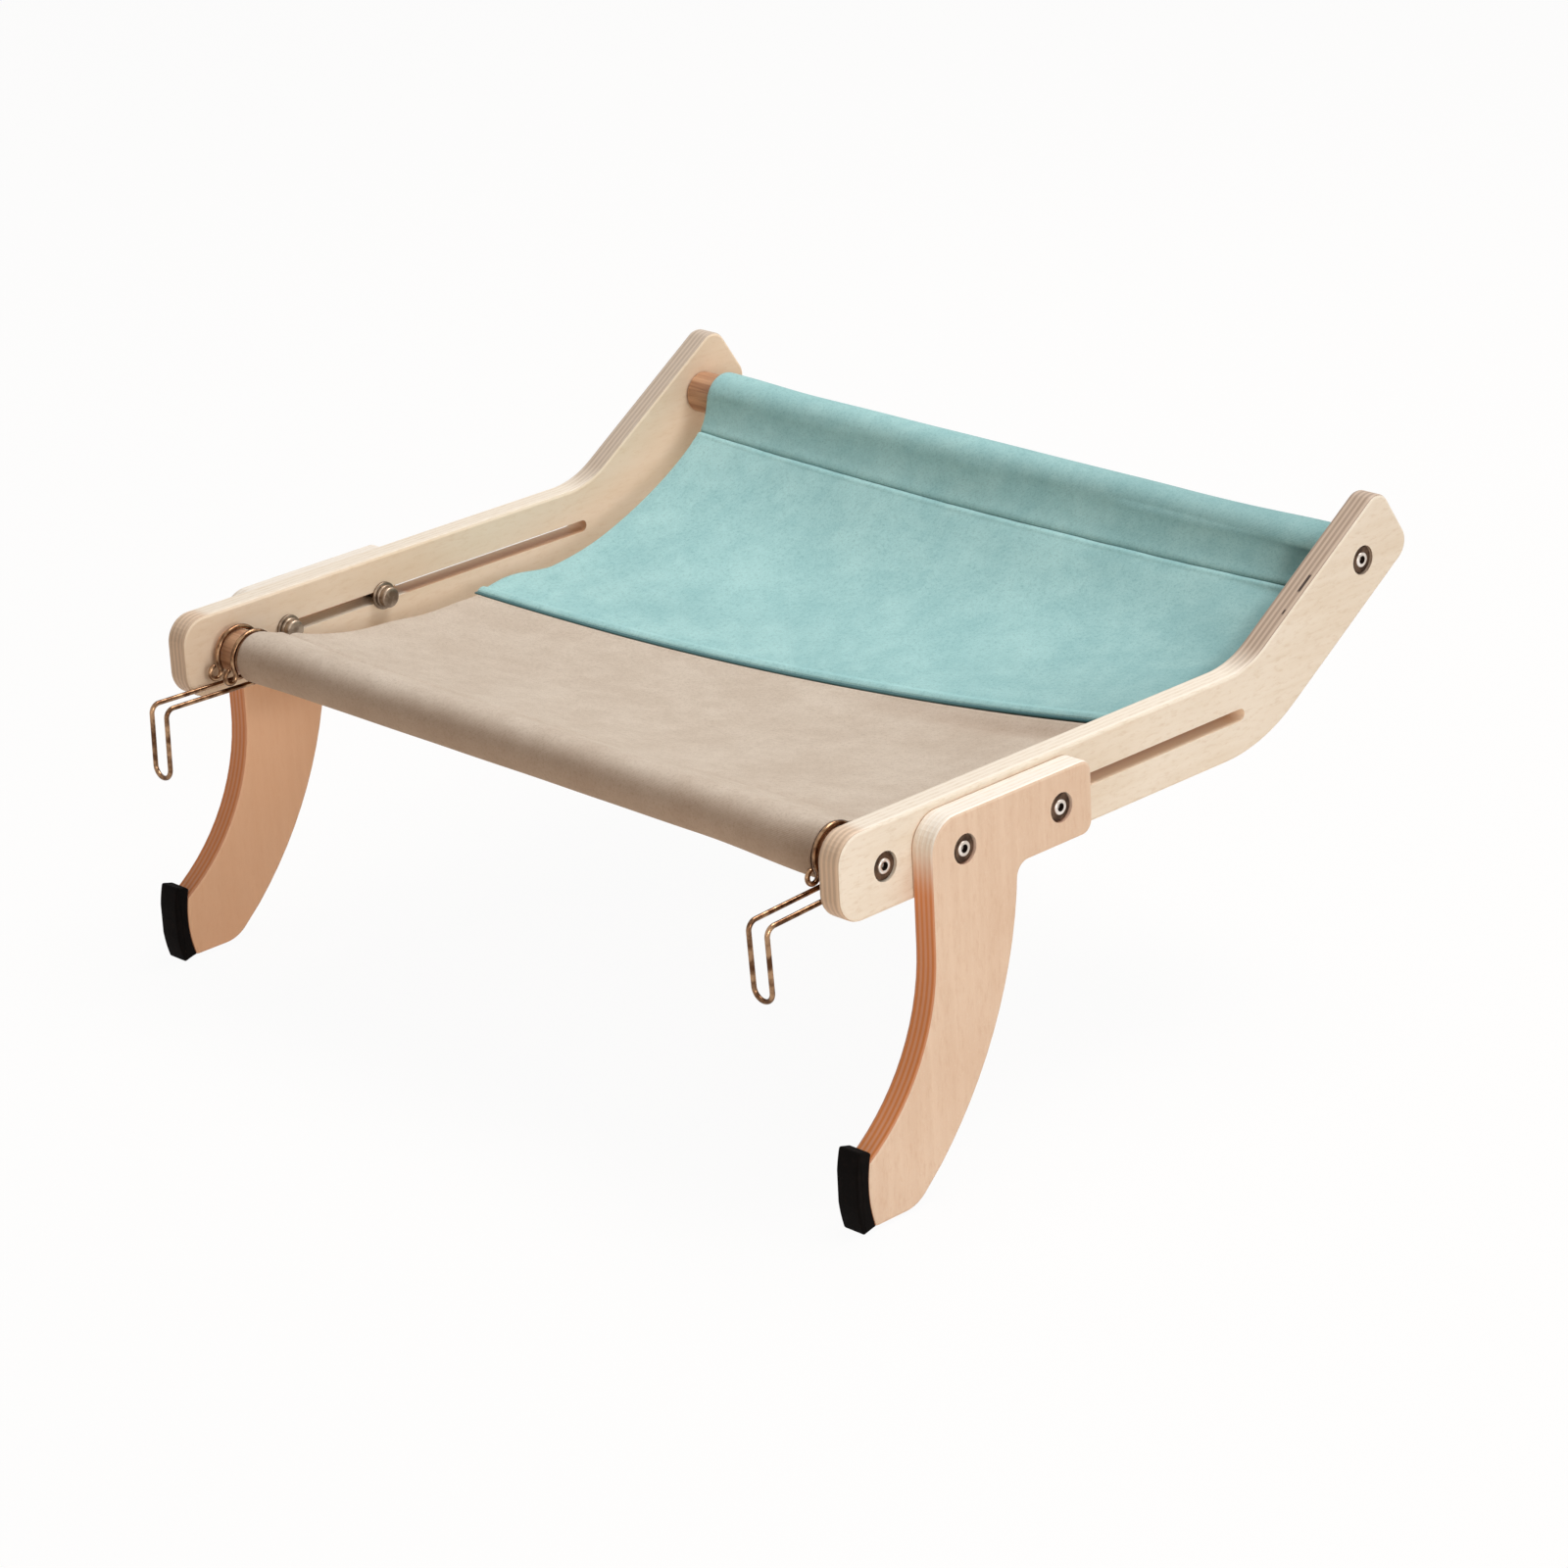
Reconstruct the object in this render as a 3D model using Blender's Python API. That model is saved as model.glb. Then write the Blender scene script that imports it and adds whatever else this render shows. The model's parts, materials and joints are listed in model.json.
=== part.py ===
"""Cat window perch: two bent plywood side panels, two round rails, a two-tone
cloth sling, two sliding curved legs with wall pads and two wire sill hooks.

Metres, +Z up. The origin is the middle of the front rail's axis. +X is the
right side, -Y is the window side with the hooks, +Y is the raised rear end.
"""

import math

import bmesh
import bpy
from mathutils import Matrix, Vector

# Overall sizes
FRAME_WIDTH = 0.4300
PLY_THICKNESS = 0.0120
FIT_GAP = 0.0003
EDGE_ROUND = 0.0014
CUT_OVERRUN = 0.0040

# Side panel: a straight bar that bends up into a raised rear end
BAR_HEIGHT = 0.0386
NOSE_REACH = 0.0265
NOSE_RADIUS = 0.0125
BEND_REACH = 0.2240
BEND_RADIUS = 0.0450
RISE_DEGREES = 33.2
RISE_LENGTH = 0.1075
RISE_WIDTH = 0.0376
RISE_END_RADIUS = 0.0090

# Slot that the legs slide along
SLOT_WIDTH = 0.0056
SLOT_FRONT = 0.0331
SLOT_REAR = 0.2184

# Round rails
DOWEL_RADIUS = 0.0100
DOWEL_CHAMFER = 0.0008
REAR_DOWEL_MARGIN = 0.0272
INSERT_DEPTH = 0.0160
INSERT_RADIUS = 0.0042
INSERT_HOLE_EXTRA = 0.0030

# Bolts with a flat round head and a hex socket
SHANK_RADIUS = 0.0025
SHANK_CHAMFER = 0.0006
BOLT_HOLE_RADIUS = 0.0029
HEAD_RADIUS = 0.0060
HEAD_HEIGHT = 0.0030
HEAD_CHAMFER = 0.0005
SINK_RADIUS = 0.0066
SINK_DEPTH = 0.0036
SOCKET_RADIUS = 0.0019
SOCKET_DEPTH = 0.0020
DOWEL_BOLT_REACH = 0.0130

# Washers and cap nuts on the inner face of the panel
WASHER_RADIUS = 0.0066
WASHER_THICKNESS = 0.0012
NUT_RADIUS = 0.0055
NUT_HEIGHT = 0.0046
NUT_CROWN = 0.0012
NUT_BORE_DEPTH = 0.0034

# Leg: a bolted plate that runs down into a curved brace
LEG_FRONT_BOLT = 0.0337
LEG_BOLT_SPACING = 0.0577
PLATE_HEIGHT = 0.0330
PLATE_FRONT_MARGIN = 0.0192
PLATE_REAR_MARGIN = 0.0187
PLATE_FRONT_RADIUS = 0.0145
PLATE_REAR_RADIUS = 0.0060
KNEE_RADIUS = 0.0065
SHIN_WIDTH = 0.0505
SHIN_FRONT_DROP = 0.0400
SHIN_FRONT_RADIUS = 0.0925
SHIN_REAR_DROP = 0.0080
SHIN_REAR_RADIUS = 0.1800
FOOT_TOP_REACH = 0.0285
FOOT_TIP_REACH = 0.0262
FOOT_DROP = 0.1475
FOOT_FACE_RADIUS = 0.0560
FOOT_HEEL_RADIUS = 0.0180
FOOT_TOE_RADIUS = 0.0020

# Black pad on the foot's bowed front face
PAD_THICKNESS = 0.0068
PAD_OVER_TOP = 0.0050
PAD_UNDER_TIP = 0.0010
PAD_TOP_RADIUS = 0.0026
PAD_FOOT_RADIUS = 0.0012
PAD_FLAT_HEIGHT = 0.0140

# Wire hook, bent from one length of wire
WIRE_RADIUS = 0.00115
HOOK_PITCH = 0.0120
HOOK_SIDE_GAP = 0.0060
HOOK_LOOP_SLACK = 0.0006
HOOK_LOOP_DEGREES = 294.0
HOOK_EYE_RADIUS = 0.0031
HOOK_EYE_DEGREES = 275.0
HOOK_ARM_REACH = 0.0515
HOOK_DROP = 0.0336
HOOK_BEND_RADIUS = 0.0042
RIGHT_HOOK_DIP_DEGREES = 3.0
LEFT_HOOK_DIP_DEGREES = -1.5

# Sling cloth
CLOTH_THICKNESS = 0.0012
POCKET_SLACK = 0.0006
FRONT_LEFT_REACH = 0.1825
FRONT_RIGHT_REACH = 0.1825
REAR_LEFT_REACH = 0.1875
REAR_RIGHT_REACH = 0.1945
EDGE_BOW = 0.0015
SAG_FRONT_DEGREES = 22.0
SAG_FRONT_HANDLE = 0.0950
SAG_REAR_DEGREES = 75.0
SAG_REAR_HANDLE = 0.0600
CENTRE_DIP = 0.0100
SEAM_LEFT_REACH = 0.1350
SEAM_RIGHT_REACH = 0.1770
SEAM_LAP = 0.0090
FRONT_POCKET_REACH = 0.0300
REAR_POCKET_DEPTH = 0.0235
POCKET_HEM = 0.0070

# Counts
ROUND_STEPS = 32
BOLT_STEPS = 24
WIRE_LOOP_STEPS = 24
WIRE_EYE_STEPS = 10
CORNER_STEPS = 9
LONG_ARC_STEPS = 14
CLOTH_STATIONS = 13
HEEL_SKIPPED_STEPS = 2
PAD_ARC_STEPS = 5
PAD_END_STEPS = 2
FRONT_WRAP_STEPS = 14
REAR_WRAP_STEPS = 16
FRONT_FLAP_STEPS = 5
REAR_FLAP_STEPS = 4
FRONT_CLOTH_SPANS = 14
REAR_CLOTH_SPANS = 18
SHARE_SEARCH_STEPS = 40
SOCKET_SIDES = 6
ROUND_SEGMENTS = 2

# Places that follow from the sizes
PANEL_OUTER = FRAME_WIDTH / 2
PANEL_INNER = PANEL_OUTER - PLY_THICKNESS
LEG_INNER = PANEL_OUTER + FIT_GAP
LEG_OUTER = LEG_INNER + PLY_THICKNESS
BAR_TOP = BAR_HEIGHT / 2
RISE_ANGLE = math.radians(RISE_DEGREES)
RISE_ALONG = Vector((math.cos(RISE_ANGLE), math.sin(RISE_ANGLE)))
RISE_ACROSS = Vector((-math.sin(RISE_ANGLE), math.cos(RISE_ANGLE)))
BEND_TOP = Vector((BEND_REACH, BAR_TOP))
REAR_DOWEL_ALONG = RISE_LENGTH - REAR_DOWEL_MARGIN
REAR_DOWEL = BEND_TOP + RISE_ALONG * REAR_DOWEL_ALONG - RISE_ACROSS * (RISE_WIDTH / 2)
FRONT_DOWEL = Vector((0.0, 0.0))
LEG_BOLTS = (
    ("front", Vector((LEG_FRONT_BOLT, 0.0))),
    ("rear", Vector((LEG_FRONT_BOLT + LEG_BOLT_SPACING, 0.0))),
)
POCKET_RADIUS = DOWEL_RADIUS + POCKET_SLACK + CLOTH_THICKNESS / 2
SIDES = (("right", 1.0), ("left", -1.0))


def clear_scene():
    for item in list(bpy.data.objects):
        bpy.data.objects.remove(item)


def material(name, colour, roughness, metallic=0.0):
    made = bpy.data.materials.new(name)
    made.use_nodes = True
    shader = made.node_tree.nodes["Principled BSDF"]
    shader.inputs["Base Color"].default_value = (*colour, 1.0)
    shader.inputs["Roughness"].default_value = roughness
    shader.inputs["Metallic"].default_value = metallic
    made.diffuse_color = (*colour, 1.0)
    return made


def add_object(name, mesh, look):
    mesh.materials.append(look)
    item = bpy.data.objects.new(name, mesh)
    bpy.context.scene.collection.objects.link(item)
    return item


def mesh_from_bmesh(name, bm, smooth=False):
    bmesh.ops.recalc_face_normals(bm, faces=bm.faces)
    mesh = bpy.data.meshes.new(name)
    bm.to_mesh(mesh)
    bm.free()
    if smooth:
        mesh.shade_smooth()
        mesh.set_sharp_from_angle(angle=math.radians(35.0))
    return mesh


def add_anchor(name, place):
    anchor = bpy.data.objects.new(name, None)
    anchor.location = place
    bpy.context.scene.collection.objects.link(anchor)
    return anchor


def hang_on(item, anchor):
    item.parent = anchor
    item.matrix_parent_inverse = Matrix.Translation(-anchor.location)


def rounded_outline(corners, steps=CORNER_STEPS):
    """Outline points from (point, radius) corners, each rounded by an arc."""
    points = []
    total = len(corners)
    for index, (corner, radius) in enumerate(corners):
        if radius == 0:
            points.append(corner.copy())
            continue
        before = (corners[index - 1][0] - corner).normalized()
        after = (corners[(index + 1) % total][0] - corner).normalized()
        half = before.angle(after) / 2
        reach = radius / math.tan(half)
        centre = corner + (before + after).normalized() * (radius / math.sin(half))
        start = corner + before * reach - centre
        finish = corner + after * reach - centre
        sweep = start.angle_signed(finish)
        for step in range(steps + 1):
            turn = Matrix.Rotation(-sweep * step / steps, 2)
            points.append(centre + turn @ start)
    return points


def arc_points(centre, radius, start_degrees, end_degrees, steps):
    points = []
    for step in range(steps + 1):
        share = step / steps
        angle = math.radians(start_degrees + (end_degrees - start_degrees) * share)
        points.append(centre + Vector((math.cos(angle), math.sin(angle))) * radius)
    return points


def plate(name, outline, near, far):
    """Flat plate: an outline in Y and Z, extruded along X from near to far."""
    bm = bmesh.new()
    ring = [bm.verts.new((near, point.x, point.y)) for point in outline]
    face = bm.faces.new(ring)
    grown = bmesh.ops.extrude_face_region(bm, geom=[face])
    moved = [part for part in grown["geom"] if isinstance(part, bmesh.types.BMVert)]
    bmesh.ops.translate(bm, verts=moved, vec=(far - near, 0.0, 0.0))
    return mesh_from_bmesh(name, bm)


def turned(name, profile, centre, steps, closed=False):
    """Body of revolution about an X line through centre, from (x, radius)."""
    bm = bmesh.new()
    verts = [bm.verts.new((x, centre.x, centre.y + radius)) for x, radius in profile]
    edges = [bm.edges.new(pair) for pair in zip(verts, verts[1:])]
    if closed:
        edges.append(bm.edges.new((verts[-1], verts[0])))
    bmesh.ops.spin(
        bm,
        geom=verts + edges,
        cent=(0.0, centre.x, centre.y),
        axis=(1.0, 0.0, 0.0),
        angle=math.tau,
        steps=steps,
        use_merge=True,
    )
    bmesh.ops.remove_doubles(bm, verts=bm.verts, dist=FIT_GAP / 100)
    return mesh_from_bmesh(name, bm, smooth=True)


def join_meshes(name, meshes):
    bm = bmesh.new()
    for mesh in meshes:
        bm.from_mesh(mesh)
    return mesh_from_bmesh(name, bm)


def add_cutter(name, mesh):
    cutter = bpy.data.objects.new(name, mesh)
    cutter.hide_render = True
    cutter.display_type = "WIRE"
    bpy.context.scene.collection.objects.link(cutter)
    return cutter


def cut(item, cutter):
    modifier = item.modifiers.new("cut", "BOOLEAN")
    modifier.operation = "DIFFERENCE"
    modifier.object = cutter


def round_edges(item, width, segments=ROUND_SEGMENTS):
    modifier = item.modifiers.new("edge round", "BEVEL")
    modifier.width = width
    modifier.segments = segments
    modifier.limit_method = "ANGLE"
    modifier.angle_limit = math.radians(50.0)


def sunk_hole(name, centre, side, outer, inner):
    """Bolt hole through a plate, with a flat-bottomed recess for the head."""
    floor = outer - SINK_DEPTH
    profile = [
        (side * (outer + CUT_OVERRUN), 0.0),
        (side * (outer + CUT_OVERRUN), SINK_RADIUS),
        (side * floor, SINK_RADIUS),
        (side * floor, BOLT_HOLE_RADIUS),
        (side * (inner - CUT_OVERRUN), BOLT_HOLE_RADIUS),
        (side * (inner - CUT_OVERRUN), 0.0),
    ]
    return turned(name, profile, centre, BOLT_STEPS)


def slot_outline(front, rear, width):
    radius = width / 2
    rear_end = arc_points(Vector((rear, 0.0)), radius, -90, 90, CORNER_STEPS)
    front_end = arc_points(Vector((front, 0.0)), radius, 90, 270, CORNER_STEPS)
    return rear_end + front_end


def panel_outline():
    """Hockey-stick outline: a level bar with a concentric bend and a rise."""
    rise_top_end = BEND_TOP + RISE_ALONG * RISE_LENGTH
    rise_low_end = rise_top_end - RISE_ACROSS * RISE_WIDTH
    bend_shift = (BAR_HEIGHT - RISE_WIDTH * math.cos(RISE_ANGLE)) / math.sin(RISE_ANGLE)
    bend_base = BEND_TOP - RISE_ACROSS * RISE_WIDTH
    bend_low = bend_base - RISE_ALONG * bend_shift
    corners = [
        (Vector((-NOSE_REACH, -BAR_TOP)), NOSE_RADIUS),
        (bend_low, BEND_RADIUS + BAR_HEIGHT),
        (rise_low_end, RISE_END_RADIUS),
        (rise_top_end, RISE_END_RADIUS),
        (BEND_TOP, BEND_RADIUS),
        (Vector((-NOSE_REACH, BAR_TOP)), NOSE_RADIUS),
    ]
    return rounded_outline(corners)


def build_panel(side_name, side, look):
    outline = panel_outline()
    mesh = plate(f"{side_name}_panel_mesh", outline, side * PANEL_INNER, side * PANEL_OUTER)
    panel = add_object(f"{side_name}_side_panel", mesh, look)
    round_edges(panel, EDGE_ROUND)
    slot = plate(
        f"{side_name}_slot_mesh",
        slot_outline(SLOT_FRONT, SLOT_REAR, SLOT_WIDTH),
        side * (PANEL_INNER - CUT_OVERRUN),
        side * (PANEL_OUTER + CUT_OVERRUN),
    )
    holes = [
        sunk_hole(f"{side_name}_hole_mesh", place, side, PANEL_OUTER, PANEL_INNER)
        for place in (FRONT_DOWEL, REAR_DOWEL)
    ]
    cutter_mesh = join_meshes(f"{side_name}_panel_cutter_mesh", [slot] + holes)
    cut(panel, add_cutter(f"{side_name}_panel_cutter", cutter_mesh))
    return panel


def shin_front_arc():
    """The shin's front edge, from the foot's top corner up to the plate."""
    centre = Vector((LEG_FRONT_BOLT - PLATE_FRONT_MARGIN - SHIN_FRONT_RADIUS, -SHIN_FRONT_DROP))
    foot = math.degrees(math.acos((-FOOT_TOP_REACH - centre.x) / SHIN_FRONT_RADIUS))
    return arc_points(centre, SHIN_FRONT_RADIUS, -foot, 0, LONG_ARC_STEPS)


def foot_face(top):
    """Centre of the foot's bowed face and the angles of its top and its tip."""
    tip = Vector((-FOOT_TIP_REACH, -FOOT_DROP))
    chord = top - tip
    rise = math.sqrt(FOOT_FACE_RADIUS ** 2 - (chord.length / 2) ** 2)
    centre = (top + tip) / 2 + Vector((chord.y, -chord.x)).normalized() * rise
    angles = [math.degrees(math.atan2(p.y - centre.y, p.x - centre.x)) % 360 for p in (top, tip)]
    return centre, angles[0], angles[1]


def leg_outline():
    """Bolt plate on top, and a shin that curves forward to the wall."""
    plate_front = LEG_FRONT_BOLT - PLATE_FRONT_MARGIN
    plate_rear = LEG_FRONT_BOLT + LEG_BOLT_SPACING + PLATE_REAR_MARGIN
    plate_top = PLATE_HEIGHT / 2
    shin_rear = plate_front + SHIN_WIDTH
    rear_centre = Vector((shin_rear - SHIN_REAR_RADIUS, -SHIN_REAR_DROP))
    knee_drop = plate_top - SHIN_REAR_DROP
    knee_reach = math.sqrt(SHIN_REAR_RADIUS ** 2 - knee_drop ** 2)
    shin_start = math.degrees(math.asin((knee_drop + KNEE_RADIUS * 2) / SHIN_REAR_RADIUS))
    shin_end = math.degrees(math.asin((FOOT_DROP - SHIN_REAR_DROP) / SHIN_REAR_RADIUS))
    front_arc = shin_front_arc()
    rear_arc = arc_points(rear_centre, SHIN_REAR_RADIUS, -shin_start, -shin_end, LONG_ARC_STEPS)
    face_centre, face_top, face_tip = foot_face(front_arc[0])
    face_arc = arc_points(face_centre, FOOT_FACE_RADIUS, face_tip, face_top, CORNER_STEPS)
    corners = [(point, 0) for point in front_arc]
    corners += [
        (Vector((plate_front, plate_top)), PLATE_FRONT_RADIUS),
        (Vector((plate_rear, plate_top)), PLATE_REAR_RADIUS),
        (Vector((plate_rear, -plate_top)), PLATE_REAR_RADIUS),
        (Vector((rear_centre.x + knee_reach, -plate_top)), KNEE_RADIUS),
    ]
    corners += [(point, 0) for point in rear_arc[:-HEEL_SKIPPED_STEPS]]
    corners += [(rear_arc[-1], FOOT_HEEL_RADIUS), (face_arc[0], FOOT_TOE_RADIUS)]
    corners += [(point, 0) for point in face_arc[1:-1]]
    return rounded_outline(corners)


def pad_outline():
    """Pad bent over the foot's face, with an upright flat in its wall side."""
    centre, face_top, face_tip = foot_face(shin_front_arc()[0])
    back = FOOT_FACE_RADIUS + FIT_GAP
    front = back + PAD_THICKNESS
    top = face_top - math.degrees(PAD_OVER_TOP / back)
    foot = face_tip - math.degrees(PAD_UNDER_TIP / back)
    flat = math.degrees(math.asin(PAD_FLAT_HEIGHT / 2 / front))
    back_arc = arc_points(centre, back, foot, top, PAD_ARC_STEPS)
    front_arc = arc_points(centre, front, top, 180 - flat, PAD_END_STEPS)
    front_arc += arc_points(centre, front, 180 + flat, foot, PAD_END_STEPS)
    corners = [(back_arc[0], 0)] + [(point, 0) for point in back_arc[1:-1]]
    corners += [(back_arc[-1], PAD_TOP_RADIUS / 2), (front_arc[0], PAD_TOP_RADIUS)]
    corners += [(point, 0) for point in front_arc[1:-1]]
    corners += [(front_arc[-1], PAD_FOOT_RADIUS)]
    return rounded_outline(corners)


def build_leg(side_name, side, look, pad_look, anchor):
    mesh = plate(f"{side_name}_leg_mesh", leg_outline(), side * LEG_INNER, side * LEG_OUTER)
    leg = add_object(f"{side_name}_leg", mesh, look)
    round_edges(leg, EDGE_ROUND)
    holes = [
        sunk_hole(f"{side_name}_leg_hole_mesh", place, side, LEG_OUTER, LEG_INNER)
        for _, place in LEG_BOLTS
    ]
    cutter_mesh = join_meshes(f"{side_name}_leg_cutter_mesh", holes)
    cut(leg, add_cutter(f"{side_name}_leg_cutter", cutter_mesh))
    hang_on(leg, anchor)
    pad_mesh = plate(f"{side_name}_pad_mesh", pad_outline(), side * LEG_INNER, side * LEG_OUTER)
    pad = add_object(f"{side_name}_wall_pad", pad_mesh, pad_look)
    round_edges(pad, EDGE_ROUND / 2, segments=1)
    hang_on(pad, anchor)


def hex_socket(name, centre, side, head_face):
    profile = [
        (side * (head_face + CUT_OVERRUN), 0.0),
        (side * (head_face + CUT_OVERRUN), SOCKET_RADIUS),
        (side * (head_face - SOCKET_DEPTH), SOCKET_RADIUS),
        (side * (head_face - SOCKET_DEPTH), 0.0),
    ]
    return turned(name, profile, centre, SOCKET_SIDES)


def build_bolt(name, centre, side, outer, tip, look):
    """Flat-headed bolt in its recess; tip is how far in its end lies."""
    head_base = outer - SINK_DEPTH + FIT_GAP
    head_face = head_base + HEAD_HEIGHT
    profile = [
        (side * tip, 0.0),
        (side * tip, SHANK_RADIUS - SHANK_CHAMFER),
        (side * (tip + SHANK_CHAMFER), SHANK_RADIUS),
        (side * head_base, SHANK_RADIUS),
        (side * head_base, HEAD_RADIUS),
        (side * (head_face - HEAD_CHAMFER), HEAD_RADIUS),
        (side * head_face, HEAD_RADIUS - HEAD_CHAMFER),
        (side * head_face, 0.0),
    ]
    bolt = add_object(name, turned(f"{name}_mesh", profile, centre, BOLT_STEPS), look)
    socket = hex_socket(f"{name}_socket_mesh", centre, side, head_face)
    cutter = add_cutter(f"{name}_socket_cutter", socket)
    cut(bolt, cutter)
    return bolt, cutter


def build_rail(name, centre, look):
    """Round rail between the panels, drilled at both ends for its inserts."""
    end = PANEL_INNER - FIT_GAP
    floor = end - INSERT_DEPTH - INSERT_HOLE_EXTRA
    bore = INSERT_RADIUS + FIT_GAP
    half = [
        (floor, 0.0),
        (floor, bore),
        (end, bore),
        (end, DOWEL_RADIUS - DOWEL_CHAMFER),
        (end - DOWEL_CHAMFER, DOWEL_RADIUS),
    ]
    profile = [(-x, radius) for x, radius in half] + list(reversed(half))
    return add_object(name, turned(f"{name}_mesh", profile, centre, ROUND_STEPS), look)


def build_insert(name, centre, side, look):
    outer_end = PANEL_INNER - FIT_GAP
    inner_end = outer_end - INSERT_DEPTH
    profile = [
        (side * inner_end, BOLT_HOLE_RADIUS),
        (side * inner_end, INSERT_RADIUS),
        (side * outer_end, INSERT_RADIUS),
        (side * outer_end, BOLT_HOLE_RADIUS),
    ]
    mesh = turned(f"{name}_mesh", profile, centre, BOLT_STEPS, closed=True)
    return add_object(name, mesh, look)


def build_leg_fastener(side_name, end_name, centre, side, look, anchor):
    washer_outer = PANEL_INNER - FIT_GAP
    washer_inner = washer_outer - WASHER_THICKNESS
    nut_outer = washer_inner - FIT_GAP
    nut_inner = nut_outer - NUT_HEIGHT
    nut_floor = nut_outer - NUT_BORE_DEPTH
    tip = nut_floor + FIT_GAP
    stem = f"{side_name}_leg_{end_name}"
    bolt, cutter = build_bolt(f"{stem}_bolt", centre, side, LEG_OUTER, tip, look)
    washer_profile = [
        (side * washer_inner, BOLT_HOLE_RADIUS),
        (side * washer_inner, WASHER_RADIUS),
        (side * washer_outer, WASHER_RADIUS),
        (side * washer_outer, BOLT_HOLE_RADIUS),
    ]
    washer_mesh = turned(f"{stem}_washer_mesh", washer_profile, centre, BOLT_STEPS, closed=True)
    washer = add_object(f"{stem}_washer", washer_mesh, look)
    nut_profile = [
        (side * nut_floor, 0.0),
        (side * nut_floor, BOLT_HOLE_RADIUS),
        (side * nut_outer, BOLT_HOLE_RADIUS),
        (side * nut_outer, NUT_RADIUS),
        (side * (nut_inner + NUT_CROWN), NUT_RADIUS),
        (side * (nut_inner + NUT_CROWN / 3), NUT_RADIUS - NUT_CROWN / 3),
        (side * nut_inner, NUT_RADIUS - NUT_CROWN),
        (side * nut_inner, 0.0),
    ]
    nut = add_object(f"{stem}_nut", turned(f"{stem}_nut_mesh", nut_profile, centre, BOLT_STEPS), look)
    for item in (bolt, cutter, washer, nut):
        hang_on(item, anchor)


def hook_path(side, dip_degrees):
    """Centre line of the wire: an end eye, a loop, an arm, the drop, and back."""
    loop = DOWEL_RADIUS + HOOK_LOOP_SLACK + FIT_GAP + WIRE_RADIUS
    hang = FRONT_DOWEL - Vector((0.0, HOOK_LOOP_SLACK))
    first = side * (PANEL_INNER - HOOK_SIDE_GAP)
    second = first - side * HOOK_PITCH
    bend = HOOK_BEND_RADIUS
    turn_out = HOOK_PITCH / 2
    loop_end = 270.0 + HOOK_LOOP_DEGREES
    eye_end = loop_end - 180.0
    eye = arc_points(hang, loop + HOOK_EYE_RADIUS, loop_end, 270.0, 1)[0]
    half = arc_points(eye, HOOK_EYE_RADIUS, eye_end - HOOK_EYE_DEGREES, eye_end, WIRE_EYE_STEPS)
    half += arc_points(hang, loop, loop_end, 270.0, WIRE_LOOP_STEPS)[1:]
    corner = hang - Vector((HOOK_ARM_REACH - bend, loop + bend))
    half += arc_points(corner, bend, 90, 180, CORNER_STEPS)
    low = hang.y - loop - HOOK_DROP + turn_out
    points = [(first, y, z) for y, z in half]
    middle = (first + second) / 2
    for step in range(2 * CORNER_STEPS + 1):
        angle = math.pi * step / (2 * CORNER_STEPS)
        x = middle + side * turn_out * math.cos(angle)
        points.append((x, -HOOK_ARM_REACH, low - turn_out * math.sin(angle)))
    points += [(second, y, z) for y, z in reversed(half)]
    tilt = Matrix.Rotation(math.radians(dip_degrees), 3, "X")
    return [tilt @ Vector(point) for point in points]


def build_hook(side_name, side, dip_degrees, look):
    curve = bpy.data.curves.new(f"{side_name}_hook_curve", "CURVE")
    curve.dimensions = "3D"
    curve.bevel_depth = WIRE_RADIUS
    curve.bevel_resolution = 1
    curve.use_fill_caps = True
    path = hook_path(side, dip_degrees)
    spline = curve.splines.new("POLY")
    spline.points.add(len(path) - 1)
    for point, place in zip(spline.points, path):
        point.co = (*place, 1.0)
    curve.materials.append(look)
    hook = bpy.data.objects.new(f"{side_name}_hook", curve)
    bpy.context.scene.collection.objects.link(hook)
    return hook


def bezier(points, share):
    rest = 1.0 - share
    first, second, third, fourth = points
    return (
        first * rest ** 3
        + second * (3 * rest ** 2 * share)
        + third * (3 * rest * share ** 2)
        + fourth * share ** 3
    )


def sag_handles():
    """Side view of the hanging cloth, from the front pocket to the rear one."""
    front = math.radians(SAG_FRONT_DEGREES)
    rear = math.radians(SAG_REAR_DEGREES)
    start = Vector((math.sin(front), math.cos(front))) * POCKET_RADIUS
    end = REAR_DOWEL + Vector((-math.sin(rear), math.cos(rear))) * POCKET_RADIUS
    lead = start + Vector((math.cos(front), -math.sin(front))) * SAG_FRONT_HANDLE
    trail = end - Vector((math.cos(rear), math.sin(rear))) * SAG_REAR_HANDLE
    return start, lead, trail, end


def share_at_reach(reach):
    """Share of the sag curve whose point lies at the given Y."""
    handles = sag_handles()
    low = 0.0
    high = 1.0
    for _ in range(SHARE_SEARCH_STEPS):
        middle = (low + high) / 2
        if bezier(handles, middle).x < reach:
            low = middle
        else:
            high = middle
    return (low + high) / 2


def stations():
    """Places across the cloth, from -1 at its left edge to 1 at its right."""
    return [-1 + 2 * index / (CLOTH_STATIONS - 1) for index in range(CLOTH_STATIONS)]


def cloth_point(place, share, across):
    """Point of the cloth in space; across runs from -1 at the left edge to 1."""
    bow = 4 * share * (1 - share)
    left = FRONT_LEFT_REACH + (REAR_LEFT_REACH - FRONT_LEFT_REACH) * share ** 2
    right = FRONT_RIGHT_REACH + (REAR_RIGHT_REACH - FRONT_RIGHT_REACH) * share ** 2
    half = (left + right) / 2 - EDGE_BOW * bow
    middle = (right - left) / 2
    dip = CENTRE_DIP * bow * (1 - across ** 2)
    return middle + half * across, place.x, place.y - dip


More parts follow.
